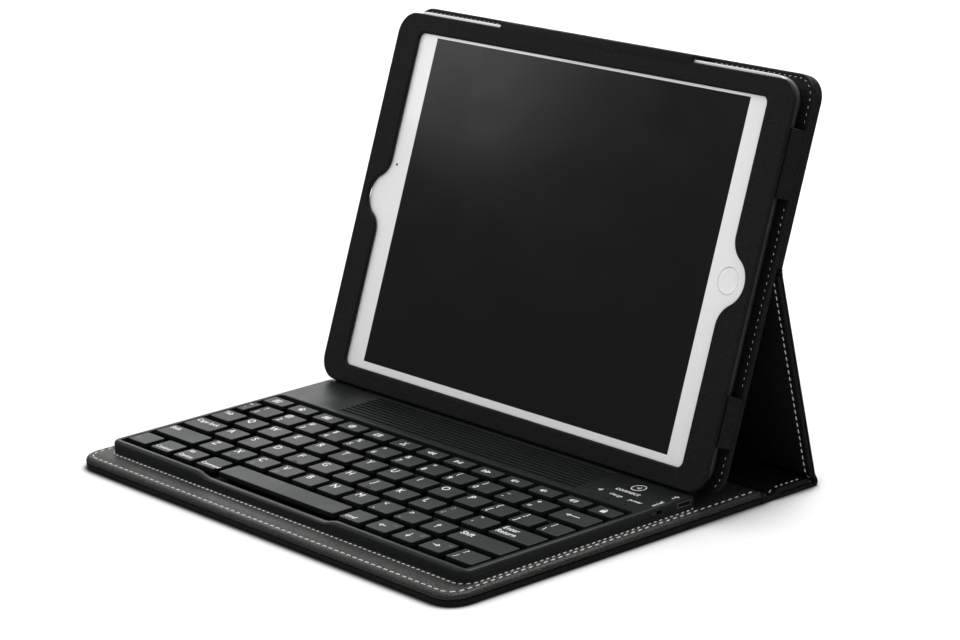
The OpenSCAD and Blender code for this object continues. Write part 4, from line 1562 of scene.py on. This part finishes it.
def top_runs(node: str) -> list[tuple[float, float]]:
    """Runs of X that the highest faces of a CAD node cover, from left to right.

    Args:
        node: Name of the node.

    Returns:
        List of (from, to), in mm.
    """
    points = node_points(node) / MM
    corners = node_triangles(node)
    level = points[:, 2].max() - 0.01
    flat = corners[(points[corners][:, :, 2] > level).all(1)]
    spans = points[flat][:, :, 0]
    order = np.argsort(spans.min(1))
    starts, ends = spans.min(1)[order], np.maximum.accumulate(spans.max(1)[order])
    breaks = np.flatnonzero(starts[1:] > ends[:-1] + 0.2) + 1
    first = np.concatenate([[0], breaks])
    last = np.concatenate([breaks - 1, [len(starts) - 1]])
    return [(starts[a], ends[b]) for a, b in zip(first, last)]


# ---------------------------------------------------------------- legends


class Anchor(Enum):
    """What of a mark its place says."""

    MIDDLE = 0.5
    LEFT = 0.0


@dataclass(frozen=True)
class Mark:
    """One sign on a key: a word, or an icon when its name starts with @.

    Attributes:
        sign: The word or the icon's name.
        u: Place along the key, as a share of its top, or in mm for a left anchor.
        v: Place up the key.
        size: Height of a capital or of the icon, in mm.
        faint: Whether it is printed in grey.
        anchor: What u says.
    """

    sign: str
    u: float
    v: float
    size: float
    faint: bool = False
    anchor: Anchor = Anchor.MIDDLE


WORD_INSET = 1.3  # distance of a word from its key's left side, in mm


def turned(points: np.ndarray, degrees: float) -> np.ndarray:
    """Flat points turned anticlockwise about the origin."""
    c, s = math.cos(math.radians(degrees)), math.sin(math.radians(degrees))
    return points @ np.array([[c, s], [-s, c]])


def letter(sign: str) -> list[Mark]:
    """A letter in the key's upper left."""
    return [Mark(sign, 0.27, 0.70, 3.5)]


def pair(low: str, high: str) -> list[Mark]:
    """A lower sign with the shifted one above it."""
    return [Mark(low, 0.20, 0.27, 2.9), Mark(high, 0.21, 0.77, 2.9)]


def word(*lines: tuple[str, float], size: float = 2.6) -> list[Mark]:
    """Words at the key's left, each with its height up the key."""
    return [Mark(text, WORD_INSET, v, size, anchor=Anchor.LEFT) for text, v in lines]


def arrow(sign: str, second: str) -> list[Mark]:
    """An arrow in the middle with a faint second sign."""
    return [Mark(sign, 0.40, 0.5, 4.2), Mark(second, 0.80, 0.76, 2.5, True)]


def legends() -> dict[str, list[list[Mark]]]:
    """Marks of every key, from left to right in each CAD node."""
    icons = "search home keys globe picture cut back play next tools quiet loud lock".split()
    second = {"X": "@cut", "C": "@copy", "V": "@page"}
    rows: dict[str, list[list[Mark]]] = {
        "function_keys": [[Mark("@" + name, 0.44, 0.5, 3.9)] for name in icons],
        "number_keys": [pair(a, b) for a, b in zip("1234567890-=", "!@#$%^&*()_+")],
        "q_row_keys": [letter(c) for c in "QWERTYUIOP"] + [pair("[", "{"), pair("]", "}"),
                                                          pair("\\", "|")],
        "a_row_keys": [letter(c) for c in "ASDFGHJKL"] + [pair(";", ":"), pair("'", '"')],
        "z_row_keys": [letter(c) + ([Mark(second[c], 0.26, 0.20, 2.8, True)] if c in second else [])
                       for c in "ZXCVBNM"] + [pair(",", "<"), pair(".", ">")],
        "grave_key": [pair("`", "~")],
        "backspace_key": [[Mark("@left_long", 0.40, 0.55, 3.9)]],
        "tab_key": [word(("Tab", 0.72))],
        "caps_lock_key": [word(("Caps lock", 0.72))],
        "enter_key": [word(("Enter", 0.74), ("Return", 0.36), size=2.8)],
        "left_shift_key": [word(("Shift", 0.74))],
        "up_key": [[Mark("@up", 0.42, 0.5, 4.0)]],
        "right_shift_key": [word(("Shift", 0.70), size=2.9)],
        "fn_key": [[Mark("Fn", WORD_INSET, 0.36, 2.6, True, Anchor.LEFT)]],
        "control_key": [word(("Control", 0.27), size=2.2)],
        "option_key": [word(("Alt", 0.78), ("Option", 0.27), size=2.2)],
        "left_command_key": [word(("Command", 0.27), size=2.0)],
        "right_command_key": [word(("cmd", 0.30), size=2.5)],
        "left_key": [arrow("@left", "@home_small")],
        "down_key": [arrow("@down", "@page_small")],
        "right_key": [arrow("@right", "@end_small")],
        "slash_key": [pair("/", "?")],
    }
    return rows


def icon_strokes() -> dict[str, list[np.ndarray]]:
    """Centre lines of the icons in a box from -0.5 to 0.5, as open or closed lines."""
    def line(*points: tuple[float, float]) -> np.ndarray:
        """An open line through the points."""
        return np.array(points, float)

    def box(x: float, y: float, w: float, h: float) -> np.ndarray:
        """A rectangle about its middle."""
        return line((x - w / 2, y - h / 2), (x + w / 2, y - h / 2), (x + w / 2, y + h / 2),
                    (x - w / 2, y + h / 2), (x - w / 2, y - h / 2))

    def wedge(x: float, side: float) -> list[np.ndarray]:
        """A filled triangle that points to a side, drawn as nested lines."""
        return [line((x - side * s, s), (x - side * s, -s), (x + side * s, 0),
                     (x - side * s, s)) for s in (0.3, 0.17)]

    horn = [line((-0.48, -0.14), (-0.3, -0.14), (-0.08, -0.36), (-0.08, 0.36), (-0.3, 0.14),
                 (-0.48, 0.14), (-0.48, -0.14)), line((-0.3, 0), (-0.15, 0.12)),
            line((-0.3, 0), (-0.15, -0.12))]
    strokes = {
        "search": [box(-0.02, 0, 0.9, 0.7), arc((-0.05, 0.04), 0.17, 0, 360, 14),
                   line((0.08, -0.08), (0.24, -0.24))],
        "home": [line((-0.48, -0.02), (0, 0.42), (0.48, -0.02)), box(0, -0.18, 0.52, 0.34),
                 box(0, -0.16, 0.24, 0.2)],
        "keys": [box(0, 0, 1.05, 0.62), line((-0.36, 0.12), (0.36, 0.12)),
                 line((-0.36, -0.02), (0.36, -0.02)), line((-0.2, -0.16), (0.2, -0.16))],
        "globe": [arc((0, 0), 0.42, 0, 360, 20), line((-0.42, 0), (0.42, 0)),
                  np.array([(0.2 * math.cos(a), 0.42 * math.sin(a))
                            for a in np.linspace(0, 2 * math.pi, 17)]),
                  line((0, -0.42), (0, 0.42))],
        "picture": [box(0, 0, 0.95, 0.7), line((-0.4, -0.25), (-0.12, 0.12), (0.06, -0.1),
                                               (0.2, 0.04), (0.4, -0.25)), box(0.22, 0.16, 0.1, 0.1)],
        "cut": [line((-0.3, 0.42), (0.2, -0.2)), line((0.3, 0.42), (-0.2, -0.2)),
                arc((-0.26, -0.3), 0.13, 0, 360, 10), arc((0.26, -0.3), 0.13, 0, 360, 10)],
        "back": wedge(-0.3, -1) + wedge(0.26, -1),
        "play": wedge(-0.22, 1) + [line((0.22, -0.3), (0.22, 0.3)), line((0.42, -0.3), (0.42, 0.3))],
        "next": wedge(-0.26, 1) + wedge(0.3, 1),
        "tools": horn + [line((0.1, -0.2), (0.45, 0.2)), line((0.1, 0.2), (0.45, -0.2))],
        "quiet": horn + [arc((-0.05, 0), 0.28, -50, 50, 6)],
        "loud": horn + [arc((-0.05, 0), 0.28, -50, 50, 6), arc((-0.05, 0), 0.46, -50, 50, 8)],
        "lock": [box(0, -0.16, 0.6, 0.44), box(0, -0.16, 0.36, 0.22),
                 line((-0.2, -0.16), (0.2, -0.16)),
                 np.vstack([[(-0.2, 0.06)], arc((0, 0.16), 0.2, 180, 0, 8), [(0.2, 0.06)]])],
        "copy": [box(-0.1, 0.08, 0.6, 0.6), box(0.14, -0.14, 0.6, 0.6)],
        "page": [box(0, 0, 0.66, 0.84), line((-0.18, 0.18), (0.18, 0.18)),
                 line((-0.18, 0), (0.18, 0)), line((-0.18, -0.18), (0.18, -0.18))],
        "home_small": [line((-0.4, -0.3), (-0.4, 0.3)), line((0.3, 0.28), (-0.2, 0), (0.3, -0.28))],
        "end_small": [line((0.4, -0.3), (0.4, 0.3)), line((-0.3, 0.28), (0.2, 0), (-0.3, -0.28))],
        "page_small": [box(0, 0, 0.5, 0.8), line((-0.12, 0.1), (0, -0.12), (0.12, 0.1))],
        "link": [arc((-0.1, 0), 0.2, -60, 60, 6), arc((-0.1, 0), 0.42, -60, 60, 8),
                 box(-0.16, 0, 0.1, 0.1)],
        "plug": [line((-0.5, 0), (0.4, 0)), arc((-0.5, 0), 0.1, 0, 360, 8),
                 line((-0.2, 0), (0.0, 0.25), (0.2, 0.25)), line((-0.05, 0), (0.1, -0.25),
                                                                 (0.3, -0.25))],
    }
    tip = [line((-0.12, 0.24), (-0.44, 0), (-0.12, -0.24), (-0.12, 0.24)),
           line((-0.2, 0.1), (-0.34, 0), (-0.2, -0.1)), line((-0.3, 0), (0.46, 0))]
    long_tip = [line((-0.5, 0.22), (-0.95, 0), (-0.5, -0.22), (-0.5, 0.22)),
                line((-0.6, 0.1), (-0.8, 0), (-0.6, -0.1)), line((-0.8, 0), (1.0, 0))]
    turns = {"left": 0, "down": 90, "right": 180, "up": 270}
    for name, degrees in turns.items():
        c, s = math.cos(math.radians(degrees)), math.sin(math.radians(degrees))
        strokes[name] = [stroke @ np.array([[c, s], [-s, c]]) for stroke in tip]
    strokes["left_long"] = long_tip
    return strokes


@dataclass(frozen=True)
class Printer:
    """Prints signs as thin raised ink on a flat face."""

    ink: float = 0.035
    sunk: float = 0.01
    stroke: float = 0.36
    bold: float = 0.004

    @cache
    def glyphs(self, text: str) -> tuple[np.ndarray, np.ndarray]:
        """Outline of a word whose capitals are 1 high, with its left end at 0.

        Args:
            text: The word.

        Returns:
            Points (n, 2) of the filled face, and its triangles (m, 3).
        """
        curve = bpy.data.curves.new("word", "FONT")
        curve.body = text
        curve.resolution_u = 3
        curve.offset = self.bold
        carrier = bpy.data.objects.new("word", curve)
        bpy.context.scene.collection.objects.link(carrier)
        graph = bpy.context.evaluated_depsgraph_get()
        mesh = bpy.data.meshes.new_from_object(carrier.evaluated_get(graph))
        mesh.calc_loop_triangles()
        points = np.empty(len(mesh.vertices) * 3)
        mesh.vertices.foreach_get("co", points)
        corners = np.empty(len(mesh.loop_triangles) * 3, np.int32)
        mesh.loop_triangles.foreach_get("vertices", corners)
        bpy.data.objects.remove(carrier)
        bpy.data.curves.remove(curve)
        bpy.data.meshes.remove(mesh)
        flat = points.reshape(-1, 3)[:, :2]
        return flat, corners.reshape(-1, 3)

    @cache
    def capital(self) -> float:
        """Height of a capital in the font's own units."""
        return float(np.ptp(self.glyphs("H")[0][:, 1]))

    def sheet(self, solid: Solid, flat: np.ndarray, triangles: np.ndarray, z: float,
              paint: int) -> None:
        """Makes a flat fill a closed sheet: its face, its back and its open sides.

        Args:
            solid: Where it goes.
            flat: Points (n, 2).
            triangles: Faces (m, 3).
            z: Height of the printed face.
            paint: Number of the finish.
        """
        n = len(flat)
        top = np.column_stack([flat, np.full(n, z + self.ink)])
        low = np.column_stack([flat, np.full(n, z - self.sunk)])
        sides = np.vstack([triangles[:, [0, 1]], triangles[:, [1, 2]], triangles[:, [2, 0]]])
        key = np.sort(sides, 1)
        _, first, count = np.unique(key, axis=0, return_index=True, return_counts=True)
        rim = sides[first[count == 1]]
        numbers = solid.add(np.vstack([top, low]), triangles, paint)
        solid.join(numbers[triangles[:, ::-1] + n], paint)
        walls = np.column_stack([rim[:, 1], rim[:, 0], rim[:, 0] + n, rim[:, 1] + n])
        solid.join(numbers[walls], paint)

    def word(self, solid: Solid, text: str, x: float, y: float, z: float, size: float,
             anchor: Anchor, paint: int, turn: float = 0) -> None:
        """Prints a word whose capitals are size mm high, centred up and down on y.

        Args:
            solid: Where it goes.
            text: The word.
            x: Place of its anchor.
            y: Place of its middle.
            z: Height of the face.
            size: Height of a capital.
            anchor: What x says.
            paint: Number of the finish.
            turn: How far it is turned, in degrees.
        """
        flat, triangles = self.glyphs(text)
        flat = flat * (size / self.capital())
        low, high = flat.min(0), flat.max(0)
        tall = size if text[0].isalnum() else None
        middle = tall / 2 if tall else (low[1] + high[1]) / 2
        if not tall and text in ".,_'\"`^*~":
            middle = size / 2
        flat = flat - (low[0] + (high[0] - low[0]) * anchor.value, middle)
        self.sheet(solid, turned(flat, turn) + (x, y), triangles, z, paint)

    def line(self, solid: Solid, points: np.ndarray, width: float, z: float, paint: int) -> None:
        """Prints a line: its points moved half a width to each side along its normals."""
        closed = len(points) > 2 and np.linalg.norm(points[0] - points[-1]) < 1e-6
        line = points[:-1] if closed else points
        ahead = np.roll(line, -1, 0) - line
        if not closed:
            ahead[-1] = ahead[-2]
        ahead /= np.linalg.norm(ahead, axis=1)[:, None]
        behind = np.roll(ahead, 1, 0)
        if not closed:
            behind[0] = ahead[0]
        normal = np.column_stack([-(ahead + behind)[:, 1], (ahead + behind)[:, 0]])
        unit = np.column_stack([-ahead[:, 1], ahead[:, 0]])
        normal /= np.maximum((normal * unit).sum(1), 0.7)[:, None]
        left, right = line + normal * width / 2, line - normal * width / 2
        n = len(line)
        a = np.arange(n if closed else n - 1)
        b = (a + 1) % n
        triangles = np.vstack([np.column_stack([a + n, b + n, b]), np.column_stack([a + n, b, a])])
        self.sheet(solid, np.vstack([left, right]), triangles, z, paint)

    def icon(self, solid: Solid, name: str, x: float, y: float, z: float, size: float,
             paint: int, turn: float = 0) -> None:
        """Prints an icon of that height about a place, turned by some degrees."""
        for points in ICONS[name]:
            self.line(solid, turned(points, turn) * size + (x, y), self.stroke * size / 3.4, z,
                      paint)

    def mark(self, solid: Solid, mark: Mark, x0: float, y0: float, w: float, d: float,
             z: float) -> None:
        """Prints a mark on a key's top.

        Args:
            solid: Where it goes.
            mark: What it is.
            x0: Left end of the key's top.
            y0: Its front.
            w: Its width.
            d: Its depth.
            z: Its height.
        """
        paint = 1 if mark.faint else 0
        y = y0 + mark.v * d
        x = x0 + (mark.u if mark.anchor is Anchor.LEFT else mark.u * w)
        if mark.sign.startswith("@") and len(mark.sign) > 1:
            self.icon(solid, mark.sign[1:], x, y, z, mark.size, paint)
        else:
            self.word(solid, mark.sign, x, y, z, mark.size, mark.anchor, paint)


ICONS = icon_strokes()


@dataclass(frozen=True)
class KeySet:
    """All key caps with their legends. A cap's top is where the CAD has it."""

    flare: float = 0.5
    corner_r: float = 0.8
    felt: tuple[int, int] = (3, 6)

    def bar(self, solid: Solid, x: float, y0: float, z: float) -> None:
        """Adds the small raised bar by which a finger finds the home keys."""
        line = Sheet(x - 1.5, x + 1.5, y0 + 1.0, y0 + 1.55, 0.26, 0.26, turns=4)
        ends = solid.band(line, [(0, z - 0.2), (0, z + 0.12), (0.06, z + 0.2), (0.16, z + 0.24)], 0)
        solid.cap(ends[0], 0)
        solid.cap(ends[-1], 0)

    def profile(self, z0: float, z1: float) -> list[tuple[float, float]]:
        """Side of a cap: an upright foot, a wall that leans in, and a crisp small round."""
        return [(-self.flare + 0.5, z0), (-self.flare, z0), (-self.flare + 0.03, z0 + 0.5),
                (-0.1, z1 - 0.32), (0.0, z1 - 0.14), (0.1, z1 - 0.04), (0.24, z1), (0.5, z1)]

    def cap_rings(self, solid: Solid, outline: Sheet, z0: float, z1: float) -> None:
        """Adds one cap: its sides in finish 1, a darker copy of the top's plastic that paints shade on
        them, and its top in finish 0.
        """
        sides = self.profile(z0, z1)
        rings = solid.band(outline, sides, 1)
        solid.cap(rings[0], 1)
        solid.cap(rings[-1], 0)
        n = len(rings[0])
        solid.paint[-2 - 2 * n:-2] = [0] * (2 * n)

    def build(self, palette: Palette) -> None:
        """Makes the caps of every key body and prints their legends."""
        printer = Printer()
        marks = legends()
        for body in frame["bodies"]:
            if f"{body}_press" not in {j["name"] for j in frame["joints"]}:
                continue
            if body in ("home_button", "connect_button"):
                continue
            low, high = BENCH.box(body)
            y0, y1 = low[1] + self.flare, high[1] - self.flare
            runs = top_runs(body)
            caps, ink = Solid(), Solid()
            for n, (x0, x1) in enumerate(runs):
                line = Sheet(x0, x1, y0, y1, self.corner_r, self.corner_r, step=30, turns=5)
                self.cap_rings(caps, line, low[2], high[2])
                if body == "a_row_keys" and n in self.felt:
                    self.bar(caps, (x0 + x1) / 2, y0, high[2])
                for mark in marks.get(body, [[]] * len(runs))[n]:
                    printer.mark(ink, mark, x0, y0, x1 - x0, y1 - y0, high[2])
            # finish 1 on the caps' sides is the darker copy of the key plastic that paints shade
            piece = caps.make(f"{body}_caps", BENCH, [palette.key_top, palette.key_side_painted_shade], 30)
            settle(piece, body, "key", body)
            if ink.count:
                signs = ink.make(f"{body}_legends", BENCH, [palette.legend, palette.faint], 30)
                settle(signs, body, "key")


@dataclass(frozen=True)
class StripMarks:
    """Small words and icons printed on the strip behind the keys."""

    ring_r: float = 3.1
    ring_w: float = 0.42
    large: float = 2.9
    small: float = 1.9
    link: float = 3.2
    plug: float = 3.4

    def build(self, palette: Palette) -> None:
        """Prints the marks on the strip and the ring on the connect button."""
        printer = Printer()
        right, back, top = BENCH.box("keyboard_top_shell")[1]
        b_low, b_high = BENCH.box("connect_button")
        x, y = (b_low[0] + b_high[0]) / 2, (b_low[1] + b_high[1]) / 2
        lens_low, lens_high = BENCH.box("status_lenses")
        lens_y = (lens_low[1] + lens_high[1]) / 2
        ink = Solid()
        for text, at, up, size in (
                ("connect", x, y - 5.6, self.large),
                ("charge", x - 0.6, lens_y + 5.4, self.small),
                ("power", lens_high[0] - 0.4, lens_y + 5.2, self.small)):
            printer.word(ink, text, at, up, top, size, Anchor.MIDDLE, 0)
        printer.word(ink, "on/off", right - 3.2, back - 19.4, top, self.small, Anchor.MIDDLE, 0,
                     90)
        printer.icon(ink, "link", lens_low[0] + 0.5, lens_y + 5.8, top, self.link, 0)
        printer.icon(ink, "plug", right - 3.4, back - 9.0, top, self.plug, 0, 90)
        settle(ink.make("strip_marks", BENCH, [palette.legend], 30), "base", "keyboard_shell")
        ring = Solid()
        printer.line(ring, arc((x, y), self.ring_r, 0, 360, 40), self.ring_w, b_high[2], 0)
        printer.icon(ring, "link", x, y, b_high[2], self.link, 0)
        settle(ring.make("connect_mark", BENCH, [palette.legend], 30), "connect_button", "button")


# ---------------------------------------------------------------- studio


@dataclass(frozen=True)
class Camera:
    """Where the case is seen from: angles about a point that it looks at."""

    azimuth: float = 50.236
    elevation: float = 15.957
    roll: float = -2.444
    distance: float = 1.4359
    aim: tuple[float, float, float] = (-0.0559, 0.0680, 0.0416)
    lens: float = 121.4

    def build(self) -> None:
        """Makes the scene's camera."""
        a, e, r = (math.radians(v) for v in (self.azimuth, self.elevation, self.roll))
        back = Vector((math.sin(a) * math.cos(e), -math.cos(a) * math.cos(e), math.sin(e)))
        side = Vector((math.cos(a), math.sin(a), 0))
        up = back.cross(side)
        turned = side * math.cos(r) + up * math.sin(r)
        upright = up * math.cos(r) - side * math.sin(r)
        data = bpy.data.cameras.new("camera")
        data.lens, data.sensor_width = self.lens, 36
        camera = bpy.data.objects.new("camera", data)
        bpy.context.scene.collection.objects.link(camera)
        columns = Matrix((turned, upright, back)).transposed().to_4x4()
        camera.matrix_world = Matrix.Translation(Vector(self.aim) + back * self.distance) @ columns
        bpy.context.scene.camera = camera


@dataclass(frozen=True)
class Softbox:
    """A soft area light that points at a place."""

    name: str
    at: tuple[float, float, float]
    to: tuple[float, float, float]
    size: tuple[float, float]
    watts: float

    def build(self) -> bpy.types.Object:
        """Makes the light."""
        data = bpy.data.lights.new(self.name, "AREA")
        data.shape = "RECTANGLE"
        data.size, data.size_y = self.size
        data.energy = self.watts
        light = bpy.data.objects.new(self.name, data)
        bpy.context.scene.collection.objects.link(light)
        light.location = self.at
        aim = Vector(self.to) - Vector(self.at)
        light.rotation_euler = aim.to_track_quat("-Z", "Y").to_euler()
        return light


@dataclass(frozen=True)
class Studio:
    """Pale floor with a painted contact shadow, soft lights and the camera."""

    around: float = 0.86
    mirrored: float = 0.10
    # reach of the painted contact shadow on the floor, in mm
    painted_shadow_reach: float = 15.0
    floor_size: float = 12000.0
    sun: float = 1.7
    sun_spread: float = 30.0
    sun_way: tuple[float, float, float] = (0.15, -0.45, -1.0)

    def floor(self) -> None:
        """Large pale floor, darkened near the case by ambient occlusion: a painted contact shadow."""
        s = Shader("pale_floor")
        # Painted shadow: ambient occlusion darkens the floor's colour towards near black close to the
        # case.
        near = s.tree.nodes.new("ShaderNodeAmbientOcclusion")
        near.inputs["Distance"].default_value = self.painted_shadow_reach * MM
        shade = s.sum(near.outputs["AO"], s.noise(400), 0.01)
        s.tint(s.spread(shade, 0.42, 0.97, 0, 1), (0.03, 0.03, 0.03), (0.87, 0.87, 0.87))
        s.set(Roughness=0.9, Specular_IOR_Level=0.1)
        size = self.floor_size
        corners = np.array([[-size, -size, -0.02], [size, -size, -0.02], [size, size, -0.02],
                            [-size, size, -0.02]])
        mesh = bpy.data.meshes.new("floor")
        mesh.from_pydata((corners * MM).tolist(), [], [(0, 1, 2, 3)])
        mesh.materials.append(s.material)
        floor = bpy.data.objects.new("floor", mesh)
        bpy.context.scene.collection.objects.link(floor)
        floor.visible_glossy = False

    def world(self) -> None:
        """Even pale surroundings."""
        world = bpy.data.worlds.new("surroundings")
        bpy.context.scene.world = world
        world.use_nodes = True
        nodes, links = world.node_tree.nodes, world.node_tree.links
        back, rays = nodes["Background"], nodes.new("ShaderNodeLightPath")
        back.inputs["Color"].default_value = (1, 1, 1, 1)
        level = nodes.new("ShaderNodeMapRange")
        level.inputs["To Min"].default_value = self.around
        level.inputs["To Max"].default_value = self.mirrored
        links.new(rays.outputs["Is Glossy Ray"], level.inputs["Value"])
        links.new(level.outputs["Result"], back.inputs["Strength"])

    def build(self) -> None:
        """Makes the floor, the surroundings, the lights and the camera."""
        self.floor()
        self.world()
        data = bpy.data.lights.new("overhead_sun", "SUN")
        data.energy, data.angle = self.sun, math.radians(self.sun_spread)
        sun = bpy.data.objects.new("overhead_sun", data)
        bpy.context.scene.collection.objects.link(sun)
        sun.rotation_euler = Vector(self.sun_way).to_track_quat("-Z", "Y").to_euler()
        Softbox("back_light", (-1.5, 1.3, 0.75), (0, 0, 0.05), (1.6, 0.9), 10).build()
        Softbox("screen_glow", (-1.4, -0.62, 0.89), (0, 0.05, 0.12), (0.8, 0.8), 2.2).build()
        bpy.context.scene.view_settings.view_transform = "Standard"
        Camera().build()


def main() -> None:
    """Builds every sub-assembly in order."""
    logging.basicConfig(level=logging.INFO, format="%(message)s")
    palette = Palette()
    Cover().build(palette)
    palette.dress(palette.board, "base_board", "spine_board", "leg_board")
    palette.dress(palette.magnet, "closure_magnets")
    Holder().build(palette)
    Tablet().build(palette)
    Keyboard().build(palette)
    KeySet().build(palette)
    StripMarks().build(palette)
    Studio().build()


if __name__ == "__main__":
    main()
